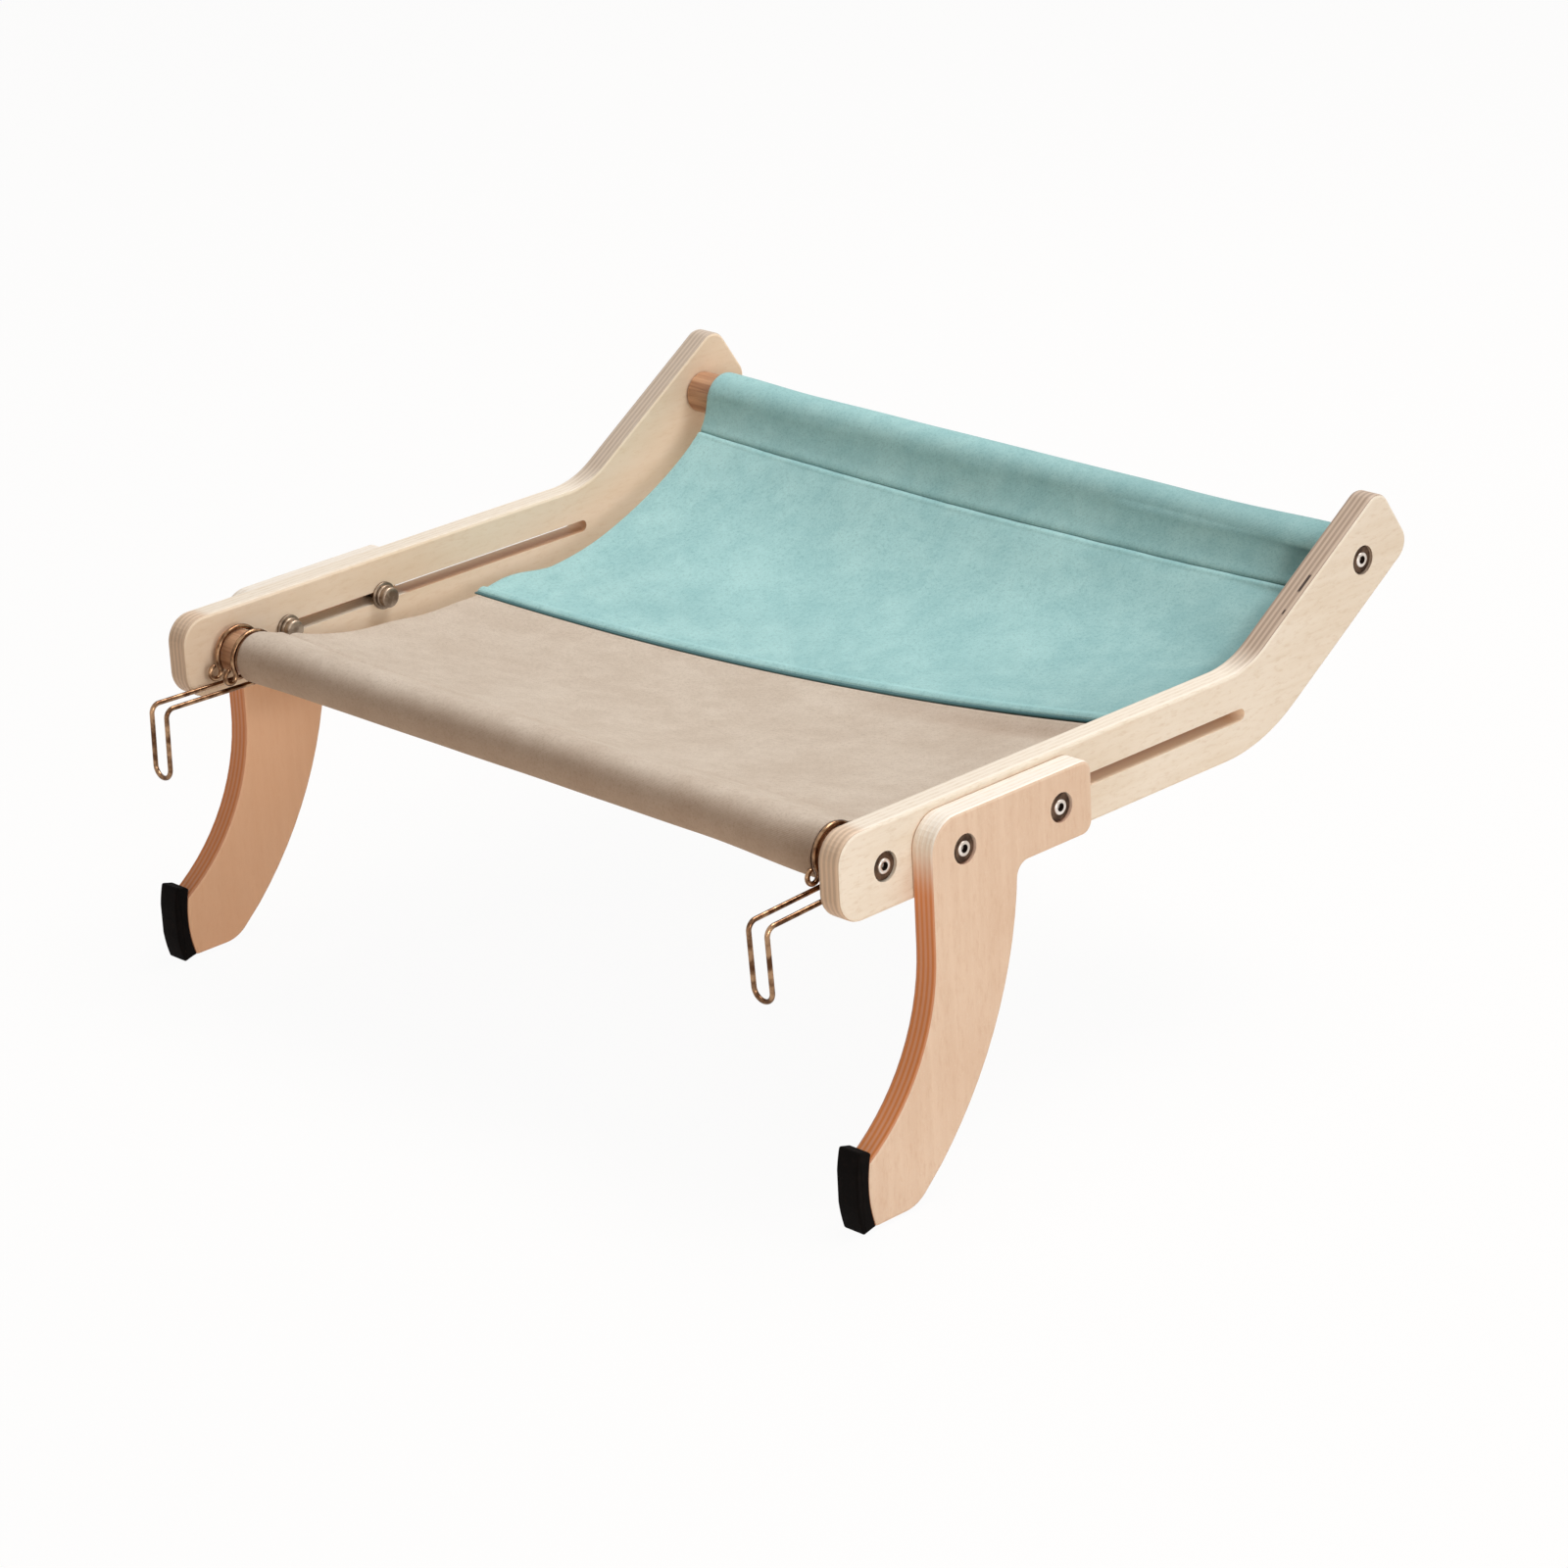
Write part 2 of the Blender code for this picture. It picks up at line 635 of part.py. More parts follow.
def cloth_solid(name, rows, look):
    """Thick sheet over a grid of rows, each row a list of points across."""
    bm = bmesh.new()
    grid = [[bm.verts.new(point) for point in row] for row in rows]
    for row, following in zip(grid, grid[1:]):
        for index in range(len(row) - 1):
            corners = (row[index], row[index + 1], following[index + 1], following[index])
            bm.faces.new(corners)
    mesh = mesh_from_bmesh(f"{name}_mesh", bm, smooth=True)
    cloth = add_object(name, mesh, look)
    modifier = cloth.modifiers.new("cloth thickness", "SOLIDIFY")
    modifier.thickness = CLOTH_THICKNESS
    modifier.offset = 0.0
    modifier.use_even_offset = True
    return cloth


def seam_share(across, lap):
    middle = (SEAM_LEFT_REACH + SEAM_RIGHT_REACH) / 2
    slant = (SEAM_RIGHT_REACH - SEAM_LEFT_REACH) / 2
    return share_at_reach(middle + slant * across + lap)


def build_front_cloth(look):
    """Beige half: front rod pocket, then back to its lap below the seam."""
    wrap = arc_points(FRONT_DOWEL, POCKET_RADIUS, 270, 90 - SAG_FRONT_DEGREES, FRONT_WRAP_STEPS)
    flap_end = bezier(sag_handles(), share_at_reach(FRONT_POCKET_REACH))
    hem_start = bezier(sag_handles(), share_at_reach(FRONT_POCKET_REACH - POCKET_HEM))
    under = -CLOTH_THICKNESS - FIT_GAP
    flap = [Vector((point.x, point.y + under)) for point in (flap_end, hem_start)]
    lead = wrap[0] + Vector((POCKET_HEM, 0.0))
    rise = (flap[1] - flap[0]).normalized() * POCKET_HEM
    handles = (flap[1], flap[1] + rise / 2, lead, wrap[0])
    shares = [index / FRONT_FLAP_STEPS for index in range(FRONT_FLAP_STEPS)]
    pocket = [flap[0]] + [bezier(handles, share) for share in shares] + wrap[:-1]
    rows = []
    steps = stations()
    for place in pocket:
        share = max(share_at_reach(place.x), 0.0)
        rows.append([cloth_point(place, share, across) for across in steps])
    ends = [seam_share(across, SEAM_LAP) for across in steps]
    for index in range(FRONT_CLOTH_SPANS + 1):
        row = []
        for across, end in zip(steps, ends):
            share = end * index / FRONT_CLOTH_SPANS
            row.append(cloth_point(bezier(sag_handles(), share), share, across))
        rows.append(row)
    return cloth_solid("sling_front_cloth", rows, look)


def build_rear_cloth(look):
    """Teal half: lies on the beige one at the seam and ends round the rail."""
    lift = Vector((0.0, CLOTH_THICKNESS + FIT_GAP))
    steps = stations()
    starts = [seam_share(across, 0.0) for across in steps]
    rows = []
    for index in range(REAR_CLOTH_SPANS + 1):
        row = []
        for across, start in zip(steps, starts):
            share = start + (1 - start) * index / REAR_CLOTH_SPANS
            place = bezier(sag_handles(), share) + lift * (1 - index / REAR_CLOTH_SPANS)
            row.append(cloth_point(place, share, across))
        rows.append(row)
    wrap = arc_points(REAR_DOWEL, POCKET_RADIUS, 90 + SAG_REAR_DEGREES, -90, REAR_WRAP_STEPS)
    end = sag_handles()[3]
    hem_share = share_at_reach(end.x - REAR_POCKET_DEPTH * math.cos(math.radians(SAG_REAR_DEGREES)))
    hem = bezier(sag_handles(), hem_share)
    along = (end - hem).normalized()
    back = Vector((along.y, -along.x)) * (CLOTH_THICKNESS + 2 * FIT_GAP)
    flap_start = hem + back
    flap_end = flap_start - along * POCKET_HEM
    handles = (
        wrap[-1],
        wrap[-1] - Vector((POCKET_HEM, 0.0)),
        flap_start + along * POCKET_HEM,
        flap_start,
    )
    shares = [(index + 1) / REAR_FLAP_STEPS for index in range(REAR_FLAP_STEPS)]
    pocket = wrap[1:] + [bezier(handles, share) for share in shares] + [flap_end]
    for place in pocket:
        share = share_at_reach(place.x)
        rows.append([cloth_point(place, share, across) for across in steps])
    return cloth_solid("sling_rear_cloth", rows, look)


def build_perch():
    clear_scene()
    birch = material("birch_plywood", (0.78, 0.62, 0.44), 0.55)
    leg_wood = material("leg_wood", (0.72, 0.50, 0.33), 0.55)
    rail_wood = material("rail_wood", (0.50, 0.25, 0.12), 0.50)
    beige = material("beige_canvas", (0.61, 0.52, 0.43), 0.92)
    teal = material("teal_canvas", (0.30, 0.56, 0.55), 0.92)
    black = material("black_pad", (0.012, 0.010, 0.009), 0.90)
    bronze = material("bronze_steel", (0.22, 0.16, 0.11), 0.38, 1.0)
    wire = material("hook_wire", (0.62, 0.44, 0.34), 0.25, 1.0)
    brass = material("insert_brass", (0.60, 0.47, 0.22), 0.35, 1.0)

    build_rail("front_dowel", FRONT_DOWEL, rail_wood)
    build_rail("rear_dowel", REAR_DOWEL, rail_wood)
    build_front_cloth(beige)
    build_rear_cloth(teal)
    for side_name, side in SIDES:
        build_panel(side_name, side, birch)
        tip = PANEL_INNER - DOWEL_BOLT_REACH
        for end_name, centre in (("front", FRONT_DOWEL), ("rear", REAR_DOWEL)):
            stem = f"{end_name}_{side_name}"
            build_bolt(f"{stem}_dowel_bolt", centre, side, PANEL_OUTER, tip, bronze)
            build_insert(f"{stem}_insert", centre, side, brass)
        anchor = add_anchor(f"{side_name}_leg_anchor", (side * LEG_INNER, LEG_FRONT_BOLT, 0.0))
        build_leg(side_name, side, leg_wood, black, anchor)
        for end_name, centre in LEG_BOLTS:
            build_leg_fastener(side_name, end_name, centre, side, bronze, anchor)
    build_hook("right", 1.0, RIGHT_HOOK_DIP_DEGREES, wire)
    build_hook("left", -1.0, LEFT_HOOK_DIP_DEGREES, wire)


build_perch()
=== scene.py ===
import json
import math

import bmesh
import bpy
import numpy as np
from mathutils import Matrix, Vector, noise


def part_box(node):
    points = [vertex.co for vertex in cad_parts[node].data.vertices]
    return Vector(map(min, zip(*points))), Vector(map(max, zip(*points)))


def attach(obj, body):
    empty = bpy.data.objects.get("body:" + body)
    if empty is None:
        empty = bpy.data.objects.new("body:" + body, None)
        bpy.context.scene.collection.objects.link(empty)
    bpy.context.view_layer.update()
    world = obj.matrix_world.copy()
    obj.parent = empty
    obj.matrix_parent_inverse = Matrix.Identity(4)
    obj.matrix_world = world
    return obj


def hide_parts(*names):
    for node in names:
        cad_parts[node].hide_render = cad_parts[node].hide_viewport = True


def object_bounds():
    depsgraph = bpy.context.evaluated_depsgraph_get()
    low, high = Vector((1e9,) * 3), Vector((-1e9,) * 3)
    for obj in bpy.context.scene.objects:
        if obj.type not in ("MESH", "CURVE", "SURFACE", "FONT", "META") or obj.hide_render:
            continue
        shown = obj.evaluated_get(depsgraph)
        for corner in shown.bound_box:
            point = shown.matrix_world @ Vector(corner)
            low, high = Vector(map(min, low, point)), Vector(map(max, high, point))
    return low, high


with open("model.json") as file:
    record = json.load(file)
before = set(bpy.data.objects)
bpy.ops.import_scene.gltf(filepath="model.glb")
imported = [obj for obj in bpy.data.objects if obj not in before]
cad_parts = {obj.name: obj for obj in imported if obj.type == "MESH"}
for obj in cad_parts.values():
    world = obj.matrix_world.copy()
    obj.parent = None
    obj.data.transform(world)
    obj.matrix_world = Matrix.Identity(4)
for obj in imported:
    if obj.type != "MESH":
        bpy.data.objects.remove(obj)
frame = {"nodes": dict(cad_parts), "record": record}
cad_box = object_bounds()
NODES = frame["nodes"]
MM = 0.001

# ---- camera
CAMERA_HEADING = math.radians(46.37)
camera_data = bpy.data.cameras.new("photo_camera")
camera_data.sensor_width = 36.0
camera_data.lens = 117.442
camera_data.clip_start = 0.05
camera = bpy.data.objects.new("photo_camera", camera_data)
camera.location = (1.5647826, -1.3409041, 0.7811250)
camera.rotation_euler = [math.radians(a) for a in (68.630185, 2.700710, 45.309218)]
bpy.context.scene.collection.objects.link(camera)
bpy.context.scene.camera = camera

# ---- sling sizes
# A pair holds the far (-X) side's value and the near (+X) side's.
REAR_LOW, REAR_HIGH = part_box("rear_dowel")
REAR_RAIL = np.array([(REAR_LOW[1] + REAR_HIGH[1]) / 2, (REAR_LOW[2] + REAR_HIGH[2]) / 2])
FRONT_RAIL = np.zeros(2)
RAIL_RADIUS = 10.0 * MM
FIT_GAP = 0.3 * MM
CLOTH = 1.2 * MM  # thickness
POCKET = 11.2 * MM  # radius of both rod pockets, at the cloth's middle
LIFT = CLOTH + FIT_GAP  # of the teal cloth over the beige one
FRONT_REACH = (183.4 * MM, 184.2 * MM)  # half width at the front rail
REAR_REACH = (187.5 * MM, 197.4 * MM)  # half width at the rear rail
EDGE_BOW = 1.5 * MM
SAG_FRONT = math.radians(22.0)
SAG_REAR = math.radians(75.0)
SAG_FRONT_HANDLE = 95.0 * MM
SAG_REAR_HANDLE = 60.0 * MM
CENTRE_DIP = 10.0 * MM
SEAM = (133.6 * MM, 185.5 * MM)  # distance behind the front rail
SEAM_BOW = 3.0 * MM
SEAM_LAP = 9.0 * MM
STITCH_BACK = 20.5 * MM  # from the rear pocket's start to its stitch line
FRONT_FLAP = 30.0 * MM
REAR_FLAP = 23.5 * MM
HEM = 7.0 * MM
STITCH_PITCH = 3.1 * MM
STITCH_LENGTH = 2.5 * MM
STITCH_RADIUS = 0.24 * MM

# ---- sizes in the materials
PLY_PAIR = 2.66 * MM  # one light and one dark ply
THREAD_PITCH = 0.62 * MM
VOID_SIDE = 0.3 * MM
VOID_END = 1.2 * MM


# ---- materials
class Nodes:
    """Small helper that builds a node tree on a new material."""

    def __init__(self, name):
        self.mat = bpy.data.materials.new(name)
        self.mat.use_nodes = True
        self.tree = self.mat.node_tree
        self.shader = self.tree.nodes["Principled BSDF"]

    def add(self, kind, **values):
        node = self.tree.nodes.new(kind)
        for key, value in values.items():
            setattr(node, key, value)
        return node

    def put(self, socket, value):
        if isinstance(value, bpy.types.NodeSocket):
            self.tree.links.new(value, socket)
        else:
            socket.default_value = value

    def set(self, **values):
        for key, value in values.items():
            self.put(self.shader.inputs[key.replace("_", " ")], value)

    def math(self, operation, first, second=0.0):
        node = self.add("ShaderNodeMath", operation=operation)
        self.put(node.inputs[0], first)
        self.put(node.inputs[1], second)
        return node.outputs[0]

    def times(self, first, second):
        return self.math("MULTIPLY", first, second)

    def plus(self, first, second):
        return self.math("ADD", first, second)

    def size(self, value):
        return self.math("ABSOLUTE", value)

    def mix(self, factor, first, second):
        node = self.add("ShaderNodeMix", data_type="RGBA")
        self.put(node.inputs["Factor"], factor)
        self.put(node.inputs["A"], first)
        self.put(node.inputs["B"], second)
        return node.outputs["Result"]

    def tint(self, base, mask, weight, colour):
        """Base colour, mixed by the weight towards another one where the mask is 1."""
        return self.mix(self.times(mask, weight), base, colour)

    def place(self, kind, scale):
        place = self.add("ShaderNodeTexCoord").outputs[kind]
        node = self.add("ShaderNodeMapping")
        node.inputs["Scale"].default_value = scale
        self.put(node.inputs["Vector"], place)
        return node.outputs["Vector"]

    def object_place(self, scale=(1, 1, 1)):
        return self.place("Object", scale)

    def uv(self, scale=(1, 1, 1)):
        return self.place("UV", scale)

    def noise(self, vector, scale, detail=3.0, rough=0.55):
        node = self.add("ShaderNodeTexNoise")
        self.put(node.inputs["Vector"], vector)
        node.inputs["Scale"].default_value = scale
        node.inputs["Detail"].default_value = detail
        node.inputs["Roughness"].default_value = rough
        return node.outputs["Fac"]

    def ramp(self, factor, low, high):
        """Smooth 0 to 1 rise between two values, held at both ends."""
        node = self.add("ShaderNodeMapRange", interpolation_type="SMOOTHSTEP")
        self.put(node.inputs["Value"], factor)
        node.inputs["From Min"].default_value = low
        node.inputs["From Max"].default_value = high
        return node.outputs["Result"]

    def between(self, value, low, high, soft):
        """1 between two values, with a soft rise inside each of them."""
        return self.times(self.ramp(value, low, low + soft), self.ramp(value, high, high - soft))

    def bump(self, height, distance, strength):
        node = self.add("ShaderNodeBump")
        node.inputs["Distance"].default_value = distance
        node.inputs["Strength"].default_value = strength
        self.put(node.inputs["Height"], height)
        return node.outputs["Normal"]

    def xyz(self, vector):
        node = self.add("ShaderNodeSeparateXYZ")
        self.put(node.inputs[0], vector)
        return node.outputs


def srgb(red, green, blue):
    values = []
    for channel in (red, green, blue):
        c = channel / 255
        values.append(c / 12.92 if c <= 0.04045 else ((c + 0.055) / 1.055) ** 2.4)
    return (*values, 1.0)


GLUE_LINE = srgb(132, 98, 70)
# shade painted inside the ply voids
VOID_SHADE = srgb(52, 34, 24)
# plies painted darker as shade on the panels' nose and raised end
NOSE_SHADED_PLIES = (srgb(178, 136, 98), srgb(214, 172, 132))
RISE_SHADED_PLIES = (srgb(134, 108, 90), srgb(176, 150, 128))


def panel_painted_shade(n, layer, place, plies, on_right):
    """Painted shade: darker plies on a side panel's nose and on top of its raised end."""
    nose = n.ramp(place["Y"], -7.0 * MM, -15.0 * MM)
    layer = n.tint(layer, nose, 0.55, n.mix(plies, *NOSE_SHADED_PLIES))
    risen = n.times(n.ramp(place["Y"], 212.0 * MM, 236.0 * MM), n.ramp(place["Z"], 6.0 * MM, 14.0 * MM))
    weight = n.plus(0.55, n.times(on_right, 0.25))
    return n.tint(layer, risen, weight, n.mix(plies, *RISE_SHADED_PLIES))


def wood(
    name, face_light, face_dark, edge_light, edge_dark, mark, inner,
    upright=False, voids=(), stain=None, slot_shade=None,
):
    """Lacquered plywood: long grain on its X faces, layered edges round them."""
    n = Nodes(name)

    def grain(through, along, across, detail, rough):
        """Noise drawn out along the grain; its three scales are per metre."""
        scale = (through, across, along) if upright else (through, along, across)
        return n.noise(n.object_place(scale), 1.0, detail, rough)

    # face: pale grain, dark fibres, light speckle and short marks
    streaks = grain(60.0, 7.0, 190.0, 5.0, 0.6)
    fibres = grain(400.0, 40.0, 1500.0, 3.0, 0.6)
    figure = grain(60.0, 150.0, 520.0, 4.0, 0.7)
    cloudy = n.noise(n.object_place((6.0, 14.0, 14.0)), 1.0, 3.0, 0.5)
    speckle = n.noise(n.object_place(), 900.0, 2.0, 0.7)
    tone = n.plus(n.times(streaks, 0.45), n.times(cloudy, 0.55))
    face = n.mix(n.ramp(tone, 0.34, 0.66), face_dark, face_light)
    face = n.tint(face, n.ramp(fibres, 0.58, 0.80), 0.16, edge_dark)
    face = n.tint(face, n.ramp(speckle, 0.52, 0.72), 0.14, edge_light)
    face = n.tint(face, n.ramp(figure, 0.48, 0.72), 0.38, mark)

    place = n.xyz(n.object_place())
    across = n.size(place["X"])
    on_right = n.ramp(place["X"], 0.0, 1.0 * MM)
    # painted warm shade on the inner faces, towards the middle plane
    inner_shade_from, inner_shade_to, inner_shade_weight, inner_shade_colour = inner
    face = n.tint(face, n.ramp(across, inner_shade_from, inner_shade_to), inner_shade_weight, inner_shade_colour)

    # edge: plies, glue lines, the legs' stain, and the painted shade on them
    wave = n.math("SINE", n.times(across, math.tau / PLY_PAIR))
    plies = n.ramp(wave, -0.6, 0.6)
    grainy = n.noise(n.object_place((2600.0, 160.0, 160.0)), 1.0, 3.0, 0.6)
    layer = n.mix(plies, edge_dark, edge_light)
    layer = n.mix(n.ramp(grainy, 0.35, 0.65), layer, edge_light)
    layer = n.tint(layer, n.ramp(n.size(wave), 0.22, 0.0), 0.20, GLUE_LINE)
    if stain is not None:
        level = n.plus(place["Z"], n.times(cloudy, 8.0 * MM))
        stained = n.tint(stain, plies, 0.17, edge_light)
        layer = n.mix(n.ramp(level, 15.0 * MM, -14.0 * MM), layer, stained)
    # painted shade on the panels' nose and raised end
    if slot_shade is not None:
        layer = panel_painted_shade(n, layer, place, plies, on_right)
    # voids in a core ply, painted dark as the shade inside their hollows
    for inside, outside, start, end in voids:
        hole = n.times(
            n.between(across, inside, outside, VOID_SIDE), n.between(place["Y"], start, end, VOID_END)
        )
        on_top = n.times(n.ramp(place["Z"], 15.0 * MM, 16.0 * MM), on_right)
        layer = n.mix(n.times(hole, on_top), layer, VOID_SHADE)
    if slot_shade is not None:
        level = n.ramp(n.size(place["Z"]), 3.6 * MM, 3.2 * MM)
        length = n.between(place["Y"], 104.0 * MM, 226.0 * MM, 4.0 * MM)
        layer = n.tint(layer, level, length, n.mix(n.ramp(across, 215.0 * MM, 203.0 * MM), *slot_shade))

    facing = n.size(n.xyz(n.add("ShaderNodeNewGeometry").outputs["True Normal"])["X"])
    n.set(Base_Color=n.mix(n.ramp(facing, 0.55, 0.92), layer, face))
    n.set(Roughness=n.plus(0.44, n.times(fibres, 0.16)))
    height = n.plus(n.times(streaks, 0.5), n.times(fibres, 0.5))
    n.set(Normal=n.bump(height, 0.08 * MM, 0.5), Coat_Weight=0.08, Coat_Roughness=0.4)
    n.set(Specular_IOR_Level=0.35)
    return n.mat


def rod_wood(name, light, dark):
    n = Nodes(name)
    grain = n.noise(n.object_place((14.0, 420.0, 420.0)), 1.0, 5.0, 0.6)
    pores = n.noise(n.object_place((90.0, 2400.0, 2400.0)), 1.0, 2.0, 0.5)
    colour = n.mix(n.ramp(grain, 0.35, 0.65), dark, light)
    colour = n.tint(colour, n.ramp(pores, 0.60, 0.75), 0.35, srgb(92, 52, 30))
    n.set(Base_Color=colour, Roughness=0.48, Normal=n.bump(grain, 0.12 * MM, 0.5))
    n.set(Coat_Weight=0.1, Coat_Roughness=0.35)
    return n.mat


def canvas(name, light, dark, shade, painted_shade_colour):
    """Plain weave in metres of UV: crossed threads, slubs and soft mottling, darkened by the painted shade
    attribute.
    """
    n = Nodes(name)
    place = n.xyz(n.uv())
    wobble = n.times(n.noise(n.uv(), 420.0, 2.0), 0.5 * MM)
    along = n.times(n.plus(place["X"], wobble), math.pi / THREAD_PITCH)
    back = n.times(n.plus(place["Y"], wobble), math.pi / THREAD_PITCH)
    warp = n.size(n.math("SINE", along))
    weft = n.size(n.math("SINE", back))
    over = n.ramp(n.times(n.math("COSINE", along), n.math("COSINE", back)), -0.35, 0.35)
    weave = n.mix(over, warp, weft)
    slub_x = n.noise(n.uv((1500.0, 70.0, 1.0)), 1.0, 2.0, 0.6)
    slub_y = n.noise(n.uv((70.0, 1500.0, 1.0)), 1.0, 2.0, 0.6)
    slubs = n.times(n.plus(slub_x, slub_y), 0.5)
    clouds = n.noise(n.uv(), 26.0, 4.0, 0.6)
    patches = n.noise(n.uv(), 95.0, 3.0, 0.65)
    flecks = n.noise(n.uv(), 1100.0, 2.0, 0.7)
    grains = n.noise(n.uv(), 520.0, 3.0, 0.75)
    tone = n.plus(n.times(clouds, 0.6), n.times(patches, 0.4))
    colour = n.mix(n.ramp(tone, 0.36, 0.66), dark, light)
    for value, low, high, weight, towards in (
        (slubs, 0.50, 0.72, 0.30, light),
        # painted shade in the gaps between threads; flecks and grains are the cloth's own tone
        (n.math("SUBTRACT", 1.0, weave), 0.45, 1.0, 0.42, shade),
        (flecks, 0.50, 0.72, 0.34, shade),
        (grains, 0.48, 0.70, 0.30, shade),
        (grains, 0.46, 0.28, 0.35, light),
    ):
        colour = n.tint(colour, n.ramp(value, low, high), weight, towards)
    painted_shade = n.add("ShaderNodeAttribute", attribute_name="painted_shade").outputs["Fac"]
    n.set(Base_Color=n.mix(painted_shade, colour, painted_shade_colour), Roughness=0.9)
    n.set(Normal=n.bump(n.plus(weave, n.times(slubs, 0.8)), 0.10 * MM, 0.75))
    n.set(Specular_IOR_Level=0.15, Sheen_Weight=0.15, Sheen_Roughness=0.55)
    return n.mat


def thread(name, colour, dark):
    n = Nodes(name)
    twist = n.noise(n.object_place((1900.0, 1900.0, 1900.0)), 1.0, 2.0)
    n.set(Base_Color=n.mix(twist, dark, colour), Roughness=0.7, Specular_IOR_Level=0.3)
    n.set(Normal=n.bump(twist, 0.06 * MM, 0.6))
    return n.mat


def metal(name, light, dark, rough, scratch=0.25):
    n = Nodes(name)
    marks = n.noise(n.object_place((700.0, 700.0, 700.0)), 1.0, 4.0, 0.65)
    stains = n.noise(n.object_place(), 160.0, 3.0, 0.6)
    n.set(Base_Color=n.mix(n.ramp(stains, 0.35, 0.68), dark, light), Metallic=1.0)
    n.set(Roughness=n.plus(rough, n.times(marks, scratch)))
    n.set(Normal=n.bump(marks, 0.03 * MM, 0.4))
    return n.mat


def foam(name, light, dark):
    n = Nodes(name)
    cells = n.noise(n.object_place(), 2200.0, 3.0, 0.7)
    dust = n.noise(n.object_place(), 240.0, 3.0, 0.6)
    n.set(Base_Color=n.mix(n.ramp(dust, 0.45, 0.8), dark, light), Roughness=0.95)
    n.set(Normal=n.bump(cells, 0.18 * MM, 0.8), Specular_IOR_Level=0.1)
    return n.mat


BIRCH = wood(
    "birch_face_and_plies",
    srgb(244, 235, 220), srgb(234, 221, 201), srgb(237, 225, 208), srgb(223, 206, 184), srgb(212, 190, 162),
    # inner: painted warm shade on the panels' inner faces
    inner=(206.0 * MM, 202.0 * MM, 0.45, srgb(236, 196, 152)),
    voids=(
        (211.6 * MM, 212.9 * MM, 249.5 * MM, 253.0 * MM),
        (211.3 * MM, 213.1 * MM, 260.5 * MM, 270.0 * MM),
    ),
    slot_shade=(srgb(250, 230, 206), srgb(206, 164, 128)),
)
LEG_WOOD = wood(
    "leg_face_and_plies",
    srgb(235, 211, 188), srgb(225, 197, 172), srgb(244, 235, 222), srgb(233, 218, 199), srgb(212, 176, 146),
    # inner: painted warm shade on the legs' inner faces
    inner=(218.0 * MM, 216.0 * MM, 0.55, srgb(248, 186, 136)),
    upright=True, stain=srgb(208, 126, 68),
)
ROD = rod_wood("reddish_rod", srgb(198, 152, 116), srgb(160, 112, 80))
BEIGE = canvas(
    "beige_canvas_weave",
    # the last colour is the painted shade in grooves, creases and under the roll
    srgb(217, 202, 185), srgb(203, 186, 168), srgb(164, 143, 123), srgb(136, 98, 68),
)
TEAL = canvas(
    "teal_canvas_weave",
    # the last colour is the painted shade in grooves, under the rod and by the near panel
    srgb(178, 219, 217), srgb(157, 202, 202), srgb(110, 156, 157), srgb(46, 90, 95),
)
TEAL_THREAD = thread("teal_thread", srgb(84, 128, 131), srgb(58, 98, 103))
BEIGE_THREAD = thread("beige_thread", srgb(196, 178, 158), srgb(160, 142, 122))
BRONZE = metal("dark_bronze", srgb(118, 94, 76), srgb(70, 53, 42), 0.38)
BRIGHT = metal("worn_bright_steel", srgb(244, 236, 228), srgb(214, 202, 190), 0.26, 0.12)
SOCKET = metal("socket_dark", srgb(62, 48, 40), srgb(34, 26, 22), 0.45)
NICKEL = metal("aged_nickel", srgb(160, 142, 124), srgb(112, 94, 78), 0.28)
WIRE = metal("bronze_wire", srgb(172, 136, 104), srgb(88, 58, 38), 0.15, 0.10)
PAD = foam("black_foam", srgb(19, 13, 11), srgb(7, 4, 3))


# ---- mesh helpers
def add_mesh(name, verts, faces, looks, uvs=None, indices=None, painted_shade=None):
    mesh = bpy.data.meshes.new(name)
    mesh.from_pydata([tuple(v) for v in verts], [], [tuple(f) for f in faces])
    for look in looks:
        mesh.materials.append(look)
    if indices is not None:
        for polygon, index in zip(mesh.polygons, indices):
            polygon.material_index = index
    if uvs is not None:
        layer = mesh.uv_layers.new(name="cloth")
        for loop in mesh.loops:
            layer.data[loop.index].uv = uvs[loop.vertex_index]
    if painted_shade is not None:
        mesh.attributes.new("painted_shade", "FLOAT", "POINT").data.foreach_set("value", painted_shade)
    bm = bmesh.new()
    bm.from_mesh(mesh)
    bmesh.ops.recalc_face_normals(bm, faces=bm.faces)
    bm.to_mesh(mesh)
    bm.free()
    mesh.shade_smooth()
    mesh.set_sharp_from_angle(angle=math.radians(40.0))
    piece = bpy.data.objects.new(name, mesh)
    bpy.context.scene.collection.objects.link(piece)
    return piece


def dress(piece, node, body):
    """The piece shows in place of its solid and rides on the solid's body."""
    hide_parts(node)
    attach(piece, body)


def rings_to_faces(count, around, joined=False):
    """Faces from ring to ring; the end rings get caps, or join each other."""
    faces = []
    for ring in range(count if joined else count - 1):
        low, high = ring * around, (ring + 1) % count * around
        for step in range(around):
            following = (step + 1) % around
            faces.append((low + step, low + following, high + following, high + step))
    if not joined:
        faces.append(tuple(range(around)))
        faces.append(tuple(reversed(range((count - 1) * around, count * around))))
    return faces


CAP_TIP = 0.06  # the last ring of a wire's rounded end, as a share of its radius


